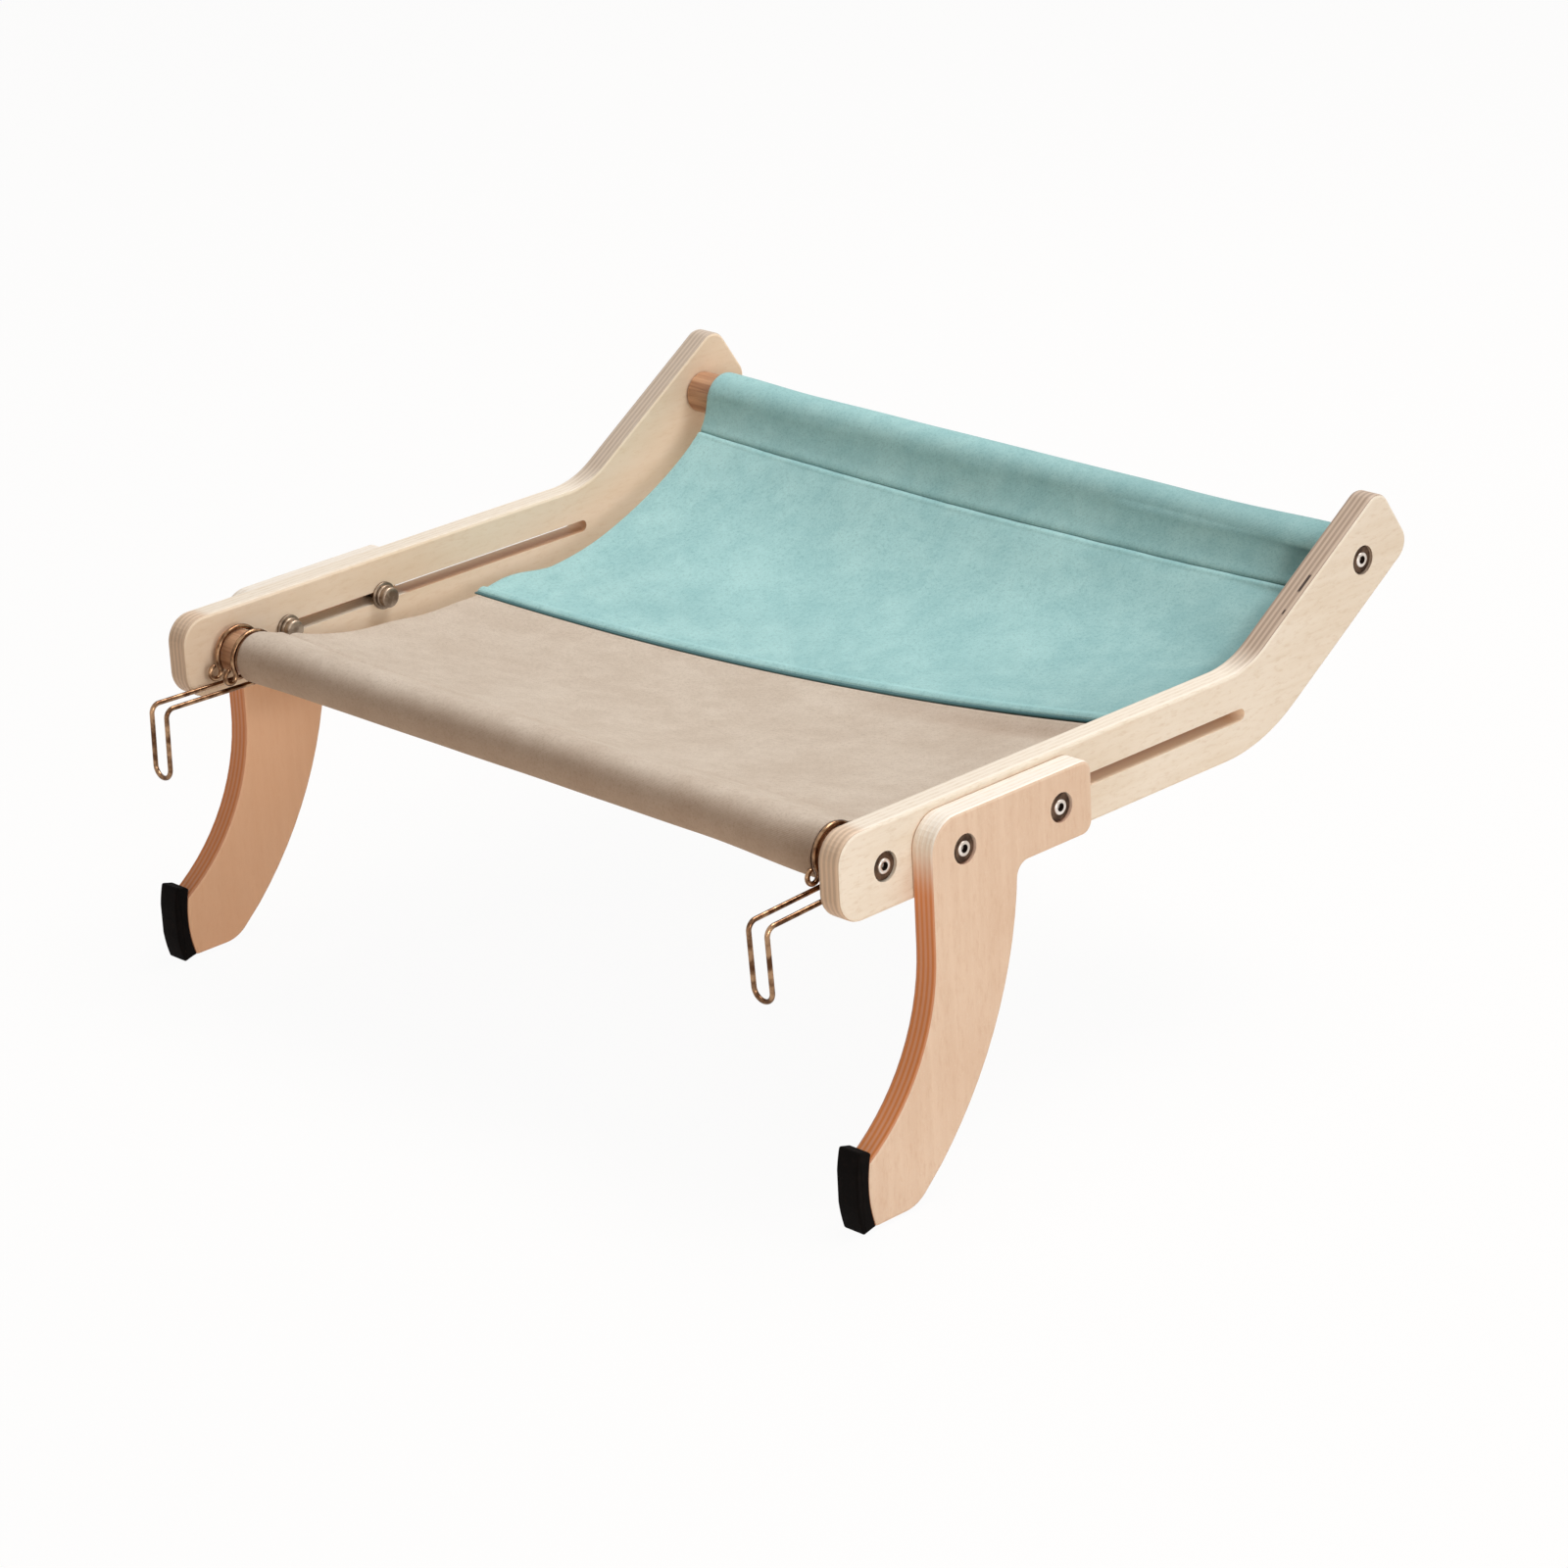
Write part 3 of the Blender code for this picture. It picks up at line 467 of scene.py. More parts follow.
def tube_parts(points, radius, sides, round_steps):
    """Vertices and faces of a round wire along points, with rounded ends."""
    points = [Vector(p) for p in points]
    tangents = []
    for index in range(len(points)):
        before = points[max(index - 1, 0)]
        after = points[min(index + 1, len(points) - 1)]
        tangents.append((after - before).normalized())
    side = tangents[0].orthogonal().normalized()
    sides_along = []
    for index, tangent in enumerate(tangents):
        if index:
            side = tangents[index - 1].rotation_difference(tangent) @ side
            side = (side - tangent * side.dot(tangent)).normalized()
        sides_along.append(side.copy())

    def cap_ring(index, way, step):
        angle = math.pi / 2 * (1 - step / round_steps)
        centre = points[index] + tangents[index] * (way * radius * math.sin(angle))
        return centre, tangents[index], sides_along[index], radius * max(math.cos(angle), CAP_TIP)

    stations = [cap_ring(0, -1, step) for step in range(round_steps)]
    stations += [(p, t, s, radius) for p, t, s in zip(points, tangents, sides_along)]
    stations += [cap_ring(-1, 1, step) for step in range(round_steps - 1, -1, -1)]
    verts = []
    for centre, tangent, first, reach in stations:
        second = tangent.cross(first)
        for step in range(sides):
            angle = math.tau * step / sides
            verts.append(centre + (first * math.cos(angle) + second * math.sin(angle)) * reach)
    return verts, rings_to_faces(len(stations), sides)


def bezier(handles, share):
    rest = 1.0 - share
    first, second, third, fourth = handles
    return first * rest**3 + second * 3 * rest**2 * share + third * 3 * rest * share**2 + fourth * share**3


def bezier_points(handles, steps):
    return bezier(handles, np.linspace(0.0, 1.0, steps + 1)[:, None])


def arc(centre, radius, start_degrees, end_degrees, steps):
    angles = np.radians(np.linspace(start_degrees, end_degrees, steps + 1))
    return centre + np.stack([np.cos(angles), np.sin(angles)], 1) * radius


def run_lengths(points):
    """Length along a line of points, at each of them."""
    return np.concatenate([[0.0], np.cumsum(np.linalg.norm(np.diff(points, axis=0), axis=1))])


def bell(value, width):
    return math.exp(-((value / width) ** 2))


def rise(value, low, high):
    part = min(max((value - low) / (high - low), 0.0), 1.0)
    return part * part * (3 - 2 * part)


def soft_noise(x, y, seed):
    return noise.noise(Vector((x, y, seed)))


# ---- sling curve
def sag_curve():
    """Bezier handles (Y, Z) of the sag, from the front pocket to the rear one."""
    start = np.array([math.sin(SAG_FRONT), math.cos(SAG_FRONT)]) * POCKET
    end = REAR_RAIL + np.array([-math.sin(SAG_REAR), math.cos(SAG_REAR)]) * POCKET
    lead = start + np.array([math.cos(SAG_FRONT), -math.sin(SAG_FRONT)]) * SAG_FRONT_HANDLE
    trail = end - np.array([math.cos(SAG_REAR), math.sin(SAG_REAR)]) * SAG_REAR_HANDLE
    return start, lead, trail, end


CURVE = sag_curve()
SHARES = np.linspace(0.0, 1.0, 4001)
TABLE = bezier(CURVE, SHARES[:, None])
LENGTHS = run_lengths(TABLE)
TOTAL = LENGTHS[-1]
ACROSS = np.linspace(-1.0, 1.0, 141)


def sag_point(share):
    return bezier(CURVE, np.asarray(share, float)[..., None])


def length_at_reach(reach):
    return np.interp(reach, TABLE[:, 0], LENGTHS)


def share_at_length(length):
    return np.interp(length, LENGTHS, SHARES)


def seam_length(across):
    """Where the slanted seam lies along the sling's curve."""
    middle = (SEAM[0] + SEAM[1]) / 2
    slant = (SEAM[1] - SEAM[0]) / 2
    return length_at_reach(middle + slant * across + SEAM_BOW * (1 - across**2))


def cloth_x_and_dip(share, across, inset=0.0):
    bow = 4 * share * (1 - share)
    left = FRONT_REACH[0] + (REAR_REACH[0] - FRONT_REACH[0]) * share**2 - inset
    right = FRONT_REACH[1] + (REAR_REACH[1] - FRONT_REACH[1]) * share**2
    half = (left + right) / 2 - EDGE_BOW * bow
    x = (right - left) / 2 + half * across
    return x, CENTRE_DIP * bow * (1 - across**2)


# ---- cloth pieces
def grid_normals(points):
    along = np.gradient(points, axis=0)
    across = np.gradient(points, axis=1)
    normal = np.cross(across, along)
    return normal / np.maximum(np.linalg.norm(normal, axis=2, keepdims=True), 1e-12)


RIM_ANGLES = (50, 20, -20, -50)  # degrees, from the sheet's top round to its underside
UNDER_SHADE = 0.5  # share of the top's painted shade that the underside gets


def sheet_piece(name, points, distances, look, painted_shade):
    """Closed thin sheet over a grid of mid-surface points, with rounded rims."""
    rows, cols, _ = points.shape
    normals = grid_normals(points)
    half = CLOTH / 2

    def grown(out, up):
        """Mid-surface pushed outward at its rim and up along the normal."""
        moved = points.copy()
        for rim, beside in (
            (np.s_[:, -1], np.s_[:, -2]), (np.s_[:, 0], np.s_[:, 1]),
            (np.s_[0], np.s_[1]), (np.s_[-1], np.s_[-2]),
        ):
            along = points[rim] - points[beside]
            moved[rim] += along / np.linalg.norm(along, axis=1, keepdims=True) * out
        return (moved + normals * up).reshape(-1, 3)

    rim = [(r, 0) for r in range(rows)]
    rim += [(rows - 1, c) for c in range(1, cols)]
    rim += [(r, cols - 1) for r in range(rows - 2, -1, -1)]
    rim += [(0, c) for c in range(cols - 2, 0, -1)]
    ids = np.array([r * cols + c for r, c in rim])
    verts = [grown(0.0, half), grown(0.0, -half)]
    # painted shade per point, weaker on the underside
    dark = painted_shade.reshape(-1)
    darks = [dark, dark * UNDER_SHADE]
    flat_uv = np.stack(
        [points[:, :, 0].reshape(-1), np.broadcast_to(distances, (rows, cols)).reshape(-1)], 1
    )
    uvs = [flat_uv, flat_uv]
    loops = [ids]
    start = 2 * rows * cols
    for angle in map(math.radians, RIM_ANGLES):
        verts.append(grown(half * math.cos(angle), half * math.sin(angle))[ids])
        uvs.append(flat_uv[ids] + [half * math.cos(angle), 0.0])
        darks.append(dark[ids])
        loops.append(np.arange(start, start + len(ids)))
        start += len(ids)
    loops.append(ids + rows * cols)
    faces = []
    for r in range(rows - 1):
        for c in range(cols - 1):
            a = r * cols + c
            quad = (a, a + 1, a + cols + 1, a + cols)
            faces.append(quad)
            faces.append(tuple(v + rows * cols for v in reversed(quad)))
    for upper, lower in zip(loops, loops[1:]):
        for index in range(len(upper)):
            following = (index + 1) % len(upper)
            faces.append((upper[index], upper[following], lower[following], lower[index]))
    piece = add_mesh(
        name, np.concatenate(verts), faces, [look], np.concatenate(uvs), painted_shade=np.concatenate(darks).tolist()
    )
    piece.data.shade_smooth()
    return piece, normals


def stitch_row(name, points, normals, row, look, way=1.0):
    """Thread stitches along one row of a cloth's grid, each a short bowed wire."""
    normals = normals[row] * way
    line = points[row] + normals * (CLOTH / 2)
    steps = run_lengths(line)
    verts = []
    faces = []
    place = STITCH_PITCH
    while place + STITCH_LENGTH < steps[-1] - STITCH_PITCH / 2:
        bowed = []
        for part in (0.0, 0.25, 0.5, 0.75, 1.0):
            at = place + STITCH_LENGTH * part
            point = [np.interp(at, steps, line[:, axis]) for axis in range(3)]
            up = [np.interp(at, steps, normals[:, axis]) for axis in range(3)]
            height = STITCH_RADIUS * (1.5 * math.sin(math.pi * part) - 0.9)
            bowed.append(Vector(point) + Vector(up) * height)
        some, more = tube_parts(bowed, STITCH_RADIUS, 7, 2)
        base = len(verts)
        verts += some
        faces += [tuple(v + base for v in face) for face in more]
        place += STITCH_PITCH
    return add_mesh(name, verts, faces, [look])


def far_inset(gap, slack):
    """How far the teal cloth's far edge draws in; its tip at the seam spreads.

    gap is the distance from the seam and slack the one from the stitch line."""
    part = np.clip((gap - 26.0 * MM) / (16.0 * MM), 0.0, 1.0)
    past_tip = part * part * (3 - 2 * part)
    drawn = 2.4 + 3.8 * np.exp(-(((gap - 60.0 * MM) / (34.0 * MM)) ** 2))
    gathered = 0.6 * np.exp(-(((slack - 6.0 * MM) / (14.0 * MM)) ** 2))
    tip = 2.5 * (1 - past_tip) + 2.5 * np.exp(-(((gap - 20.0 * MM) / (9.0 * MM)) ** 2))
    return (drawn * past_tip + gathered - tip) * MM


def teal_grid():
    """Rear cloth: seam edge, hollow, rod pocket and its stitched-down flap."""
    near_seam = np.concatenate([np.linspace(0, 3.6, 19), np.linspace(4.0, 9, 9)]) * MM
    stitch = TOTAL - STITCH_BACK
    near_stitch = stitch + np.linspace(-4.0, 4.0, 25) * MM
    last = np.linspace(near_stitch[-1], TOTAL, 11)[1:]
    columns = []
    seam_gap = []
    for across in ACROSS:
        start = seam_length(across)
        between = np.linspace(start + near_seam[-1], near_stitch[0], 62)[1:-1]
        lengths = np.concatenate([start + near_seam, between, near_stitch, last])
        share = share_at_length(lengths)
        flat = sag_point(share)
        x, dip = cloth_x_and_dip(share, across, far_inset(lengths - start, stitch - lengths))
        lift = LIFT * (1 - (lengths - start) / (TOTAL - start))
        columns.append(np.stack([x, flat[:, 0], flat[:, 1] - dip + lift], 1))
        seam_gap.append(lengths - start)
    points = np.stack(columns, 1)
    seam_gap = np.stack(seam_gap, 1)
    wrap = arc(REAR_RAIL, POCKET, 90 + math.degrees(SAG_REAR), -90, 40)[1:]
    end = CURVE[3]
    hem = sag_point(share_at_length(TOTAL - REAR_FLAP))
    up = (end - hem) / np.linalg.norm(end - hem)
    back = np.array([up[1], -up[0]]) * (CLOTH + 2 * FIT_GAP)
    flap_start = hem + back
    flap_end = flap_start - up * HEM
    handles = (wrap[-1], wrap[-1] - np.array([HEM, 0.0]), flap_start + up * HEM, flap_start)
    tail = np.concatenate([wrap, bezier_points(handles, 16)[1:], np.linspace(flap_start, flap_end, 9)[1:]])
    tail_share = np.interp(tail[:, 0], TABLE[:, 0], SHARES)[:, None]
    x, dip = cloth_x_and_dip(tail_share, ACROSS[None, :], far_inset(TOTAL, -STITCH_BACK))
    more = np.stack([x, np.broadcast_to(tail[:, :1], x.shape), tail[:, 1:] - dip], 2)
    return np.concatenate([points, more]), seam_gap, points.shape[0]


def teal_relief(points, seam_gap, rows_main):
    """Height along the normal and painted shade: seam roll, stitch groove, ripples."""
    rows, cols, _ = points.shape
    middle = run_lengths(points[:, cols // 2])
    end = middle[rows_main - 1]
    stitch_at = end - STITCH_BACK
    height = np.zeros((rows, cols))
    dark = np.zeros((rows, cols))
    for r in range(rows):
        s = middle[r]
        from_stitch = s - stitch_at
        slack = max(-from_stitch, 0.0)
        round_rod = rise(s, stitch_at, end) * (1 - rise(s, end + 30.0 * MM, end + 45.0 * MM))
        over_rod = rise(s, end - 5.0 * MM, end + 5.0 * MM) * (1 - rise(s, end + 20.0 * MM, end + 34.0 * MM))
        groove = bell(from_stitch, 0.70 * MM)
        groove_sides = bell(abs(from_stitch) - 2.2 * MM, 1.1 * MM)
        for c in range(cols):
            x = points[r, c, 0]
            # the pocket is slack at both ends, with painted shade where it leaves the rod
            value = round_rod * (-0.45 + 1.3 * rise(abs(ACROSS[c]), 0.70, 1.0)) * MM
            dark[r, c] = 0.30 * over_rod * rise(x, -0.080, 0.170)
            if r >= rows_main:
                value += 0.16 * MM * soft_noise(x / 0.040, s / 0.030, 5.5) * round_rod
                height[r, c] = value
                continue
            gap = seam_gap[r, c]
            calm = min(gap / (16.0 * MM), 1.0)
            value += 1.2 * MM * soft_noise(x / 0.080, s / 0.055, 3.1) * calm
            value += 0.40 * MM * soft_noise(x / 0.030, s / 0.034, 7.7) * calm
            # seam: turned-down rim, groove, rounded fold and a shallow dip behind it
            value -= 0.60 * MM * bell(gap, 0.9 * MM)
            value -= 0.60 * MM * bell(gap - 1.05 * MM, 0.55 * MM)
            value += 0.95 * MM * bell(gap - 3.9 * MM, 2.0 * MM)
            value -= 0.30 * MM * bell(gap - 8.0 * MM, 1.6 * MM)
            # stitch line: groove with raised sides
            value -= 1.05 * MM * groove
            value += 0.26 * MM * groove_sides
            # painted shade in the stitch groove and the seam's groove, towards the near side, and along the
            # near edge where the panel shades it
            dark[r, c] += 0.85 * bell(from_stitch, 0.62 * MM) + 1.0 * bell(gap - 0.35 * MM, 0.85 * MM)
            dark[r, c] += 0.16 * rise(ACROSS[c], 0.30, 1.0) + 0.34 * rise(x, 0.176, 0.188)
            # kink below the stitch line, pleats near the near edge, puckers
            value += 0.30 * slack * math.exp(-slack / (15.0 * MM)) * rise(gap, 4.0 * MM, 20.0 * MM)
            pleats = rise(ACROSS[c], 0.72, 1.0) * math.exp(-slack / (40.0 * MM)) * rise(slack, 0.0, 6.0 * MM)
            value += 1.3 * MM * soft_noise(x / 0.110, s / 0.011, 41.3) * pleats
            if from_stitch < 0:
                fade = math.exp(from_stitch / (15.0 * MM)) * (1 - groove)
                value += 0.50 * MM * soft_noise(x / 0.012, s / 0.070, 11.3) * fade
            else:
                value += 0.30 * MM * soft_noise(x / 0.020, s / 0.030, 9.1) * (1 - groove)
            height[r, c] = value
    return height, middle, stitch_at, dark


def beige_grid():
    """Front cloth: flap, rod pocket, hollow, and its lap below the seam."""
    wrap = arc(FRONT_RAIL, POCKET, 270, 90 - math.degrees(SAG_FRONT), 40)
    drop = np.array([0.0, -LIFT])
    far = sag_point(share_at_length(length_at_reach(FRONT_FLAP))) + drop
    near = sag_point(share_at_length(length_at_reach(FRONT_FLAP - HEM))) + drop
    toward = (near - far) / np.linalg.norm(near - far) * HEM
    handles = (near, near + toward / 2, wrap[0] + np.array([HEM, 0.0]), wrap[0])
    tail = np.concatenate([np.linspace(far, near, 9)[:-1], bezier_points(handles, 16)[:-1], wrap[:-1]])
    share_tail = np.maximum(np.interp(tail[:, 0], TABLE[:, 0], SHARES), 0.0)
    share_tail[tail[:, 0] < TABLE[0, 0]] = 0.0
    before_seam = np.concatenate([-np.linspace(9, 5.6, 6), -np.linspace(5, 0, 15)]) * MM
    lap = np.linspace(0.4 * MM, SEAM_LAP, 10)
    near_seam = np.concatenate([before_seam, lap])
    near_rod = np.concatenate([[0, 2.5, 5, 7.5], np.linspace(9.5, 24, 24)]) * MM
    columns = []
    seam_gap = []
    for across in ACROSS:
        seam = seam_length(across)
        between = np.linspace(26.0 * MM, seam + near_seam[0], 48)[:-1]
        lengths = np.concatenate([near_rod, between, seam + near_seam])
        share = share_at_length(lengths)
        flat = sag_point(share)
        x, dip = cloth_x_and_dip(share, across)
        main = np.stack([x, flat[:, 0], flat[:, 1] - dip], 1)
        x, dip = cloth_x_and_dip(share_tail, across)
        start = np.stack([x, tail[:, 0], tail[:, 1] - dip], 1)
        columns.append(np.concatenate([start, main]))
        seam_gap.append(np.concatenate([np.full(len(tail), -1.0), lengths - seam]))
    return np.stack(columns, 1), np.stack(seam_gap, 1), len(tail)


def beige_relief(points, seam_gap, rows_tail):
    """Height along the normal and painted shade: seam ridge, roll, creases, folds."""
    rows, cols, _ = points.shape
    middle = run_lengths(points[:, cols // 2])
    top = middle[rows_tail]
    height = np.zeros((rows, cols))
    dark = np.zeros((rows, cols))
    for r in range(rows):
        s = middle[r] - top
        on_rod = 1 - rise(s, 2.0 * MM, 26.0 * MM) if s > 0 else rise(s, -58.0 * MM, -46.0 * MM)
        below = rise(s, -54.0 * MM, -40.0 * MM) * (1 - rise(s, -26.0 * MM, -12.0 * MM))
        for c in range(cols):
            x = points[r, c, 0]
            gap = seam_gap[r, c]
            # the roll flares at both ends and hangs below the rod at the near one
            near_end = rise(ACROSS[c], 0.60, 1.0)
            far_end = rise(-ACROSS[c], 0.80, 1.0)
            value = on_rod * (-0.45 + 0.9 * near_end + 0.5 * far_end) * MM
            value += below * (1.1 * near_end + 0.25 * soft_noise(x / 0.050, 0.3, 2.2)) * MM
            if r >= rows_tail:
                calm = min(max(-gap, 0.0) / (16.0 * MM), 1.0) * min(0.2 + s / (28.0 * MM), 1.0)
                value += 1.3 * MM * soft_noise(x / 0.085, s / 0.050, 21.4) * calm
                value += 0.40 * MM * soft_noise(x / 0.032, s / 0.030, 17.2) * calm
                # ridge before the seam, and the lap pressed down behind it, with painted shade in the seam's
                # groove
                value += 0.34 * MM * bell(gap + 2.0 * MM, 1.2 * MM)
                if gap > -2.0 * MM:
                    value -= 1.15 * MM * bell(gap - 1.2 * MM, 1.6 * MM)
                dark[r, c] = 0.75 * bell(gap - 0.1 * MM, 0.8 * MM)
                # creased line behind the roll, deepest at the far side, with painted shade along it
                far_side = 0.30 + 0.70 * rise(-x, -0.060, 0.130)
                line = 15.5 * MM + 2.0 * MM * soft_noise(x / 0.090, 0.0, 4.4)
                value -= 1.20 * MM * far_side * bell(s - line, 1.9 * MM)
                value += 0.35 * MM * far_side * bell(s - line + 4.5 * MM, 2.5 * MM)
                value += 0.35 * MM * far_side * bell(s - line - 5.5 * MM, 3.5 * MM)
                dark[r, c] += 0.18 * far_side * bell(s - line, 1.2 * MM)
                # fold that fans out at the near side, with painted shade in its hollow
                fan = rise(x, 0.020, 0.130)
                value += 0.70 * MM * fan * bell(s - 15.0 * MM, 5.0 * MM)
                value -= 1.30 * MM * fan * bell(s - 25.0 * MM, 5.5 * MM)
                dark[r, c] += 0.10 * fan * bell(s - 24.0 * MM, 5.0 * MM)
                # hollow in front of the seam's near end, with painted shade in it and across the near side
                near_side = rise(x, 0.010, 0.130)
                value -= 2.4 * MM * near_side * bell(gap + 13.0 * MM, 8.0 * MM)
                dark[r, c] += 0.22 * near_side * bell(gap + 10.0 * MM, 10.0 * MM)
                dark[r, c] += 0.07 * near_side * bell(gap + 34.0 * MM, 34.0 * MM)
            # painted shade on the front and underside of the roll, below the rod
            dark[r, c] += 0.34 * rise(-s, 7.0 * MM, 17.0 * MM) * (1 - rise(-s, 24.0 * MM, 40.0 * MM))
            height[r, c] = value
    return height, middle, dark


# teal cloth
points, seam_gap, rows_main = teal_grid()
relief, middle, stitch_at, dark = teal_relief(points, seam_gap, rows_main)
points = points + grid_normals(points) * relief[:, :, None]
teal, normals = sheet_piece("teal_cloth", points, middle[:, None], TEAL, dark)
row = int(np.argmin(np.abs(middle - stitch_at)))
teal_stitches = stitch_row("teal_pocket_stitches", points, normals, row, TEAL_THREAD)
teal_flap_stitches = stitch_row("teal_flap_stitches", points, normals, len(points) - 5, TEAL_THREAD)

# beige cloth
points, seam_gap, rows_tail = beige_grid()
relief, middle, dark = beige_relief(points, seam_gap, rows_tail)
points = points + grid_normals(points) * relief[:, :, None]
beige, normals = sheet_piece("beige_cloth", points, middle[:, None], BEIGE, dark)
beige_flap_stitches = stitch_row("beige_flap_stitches", points, normals, 4, BEIGE_THREAD)
seam_stitches = stitch_row("seam_stitches_below", points, normals, len(points) - 4, TEAL_THREAD, way=-1.0)

dress(teal, "sling_rear_cloth", "frame")
dress(beige, "sling_front_cloth", "frame")
for piece, slot in (
    (teal_stitches, "teal_canvas"),
    (teal_flap_stitches, "teal_canvas"),
    (seam_stitches, "teal_canvas"),
    (beige_flap_stitches, "beige_canvas"),
):
    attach(piece, "frame")

# ---- fasteners
AROUND = 48  # points in each turned ring
HEAD_HEIGHT = 3.0 * MM
# Rings of a bolt head from its rim in to the socket's floor, in mm: distance
# from its face, radius, and the look that the band up to it gets.
HEAD_RINGS = (
    (-1.05, 6.0, 0), (-0.80, 5.9, 0), (-0.70, 5.6, 0), (-0.78, 5.1, 0), (-0.86, 4.2, 0), (-0.82, 3.65, 0),
    (-0.70, 3.42, 0), (-0.22, 3.30, 1), (-0.05, 3.12, 1), (0.0, 2.80, 1), (-0.03, 2.30, 1), (-0.10, 1.86, 1),
)
HEX_RINGS = ((-0.26, 1.66, 2), (-1.5, 1.62, 2), (-1.8, 1.56, 2), (-1.9, 1.30, 2))
FLOOR_RINGS = ((-1.92, 1.0, 1), (-2.05, 0.6, 1), (-2.1, 0.2, 2))
# Rings of a cap nut, in mm: its open end from the outer face, its crown from the inner one.
NUT_OPEN_RINGS = (
    (-3.3, 0.3), (-3.4, 2.9), (0.0, 2.9), (0.0, 5.3), (-0.2, 5.5), (-0.9, 5.5), (-1.2, 5.3), (-1.4, 5.0),
)
NUT_CROWN_RINGS = ((1.0, 4.9), (0.55, 4.75), (0.25, 4.45), (0.08, 4.0), (0.0, 3.2), (0.0, 1.8), (0.0, 0.3))


def turned_rings(profile, centre, hexed=()):
    """Points of a body turned about an X line; the rings in hexed are hexagons."""
    verts = []
    for index, (x, radius) in enumerate(profile):
        for step in range(AROUND):
            angle = math.tau * step / AROUND
            reach = radius
            if index in hexed:
                part = (angle % (math.pi / 3)) - math.pi / 6
                reach = radius * math.cos(math.pi / 6) / math.cos(part)
            verts.append((x, centre[0] + math.cos(angle) * reach, centre[1] + math.sin(angle) * reach))
    return verts


def node_span(node):
    """Distances from the middle plane of a node's inner and outer ends, and its Y, Z middle."""
    low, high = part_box(node)
    inner, outer = sorted((abs(low[0]), abs(high[0])))
    return inner, outer, ((low[1] + high[1]) / 2, (low[2] + high[2]) / 2)


def bolt_piece(node, side, body):
    """Flat bolt head with a bright ring round its hex socket, and its shank."""
    tip, face, centre = node_span(node)
    base = face - HEAD_HEIGHT
    shank = [
        (tip, 0.4 * MM, 0), (tip, 1.9 * MM, 0), (tip + 0.6 * MM, 2.5 * MM, 0), (base, 2.5 * MM, 0),
        (base + 0.05 * MM, 2.9 * MM, 0), (base, 5.6 * MM, 0), (base + 0.3 * MM, 6.0 * MM, 0),
    ]
    head = [(face + x * MM, r * MM, look) for x, r, look in HEAD_RINGS + HEX_RINGS + FLOOR_RINGS]
    rings = shank + head
    hex_start = len(shank) + len(HEAD_RINGS)
    hexed = range(hex_start, hex_start + len(HEX_RINGS))
    verts = turned_rings([(side * x, r) for x, r, _ in rings], centre, hexed)
    indices = [look for _, _, look in rings[1:] for _ in range(AROUND)] + [0, 2]
    looks = [BRONZE, BRIGHT, SOCKET]
    piece = add_mesh(f"{node}_fine", verts, rings_to_faces(len(rings), AROUND), looks, indices=indices)
    dress(piece, node, body)


def washer_piece(node, side, body):
    inner, outer, centre = node_span(node)
    edge = 0.2 * MM
    rings = [
        (inner, 3.0 * MM), (inner, 6.35 * MM), (inner + edge * 0.4, 6.5 * MM), (inner + edge, 6.6 * MM),
        (outer - edge, 6.6 * MM), (outer, 6.4 * MM), (outer, 3.0 * MM),
    ]
    verts = turned_rings([(side * x, r) for x, r in rings], centre)
    piece = add_mesh(f"{node}_fine", verts, rings_to_faces(len(rings), AROUND, joined=True), [NICKEL])
    dress(piece, node, body)


def nut_piece(node, side, body):
    """Round cap nut: a plain barrel with a softly crowned closed end."""
    inner, outer, centre = node_span(node)
    rings = [(outer + x * MM, r * MM) for x, r in NUT_OPEN_RINGS]
    rings += [(inner + x * MM, r * MM) for x, r in NUT_CROWN_RINGS]
    verts = turned_rings([(side * x, r) for x, r in rings], centre)
    piece = add_mesh(f"{node}_fine", verts, rings_to_faces(len(rings), AROUND), [NICKEL])
    dress(piece, node, body)


for side_name, side in (("right", 1.0), ("left", -1.0)):
    for end in ("front", "rear"):
        bolt_piece(f"{end}_{side_name}_dowel_bolt", side, "frame")
        bolt_piece(f"{side_name}_leg_{end}_bolt", side, f"{side_name}_leg_unit")
        washer_piece(f"{side_name}_leg_{end}_washer", side, f"{side_name}_leg_unit")
        nut_piece(f"{side_name}_leg_{end}_nut", side, f"{side_name}_leg_unit")


# ---- wire hooks
WIRE_RADIUS = 1.15 * MM
HOOK_SLACK = 0.6 * MM  # how far the loops' centre hangs below the rail's
HOOK_OUTER = 197.2 * MM
HOOK_PITCH = 10.6 * MM  # from one wire of a hook to the other
HOOK_BEND = 4.2 * MM
HOOK_REACH = 51.5 * MM
HOOK_DROP = 33.6 * MM
HOOK_EYE = 3.1 * MM
HOOK_LOOP_START = 270.0  # degrees, below the rail
HOOK_LOOP_END = 564.0
HOOK_EYE_END = HOOK_LOOP_END - 180.0
HOOK_EYE_TURN = 275.0
HOOK_DIPS = (("right", 1.0, 3.0), ("left", -1.0, -1.5))  # degrees, as photographed


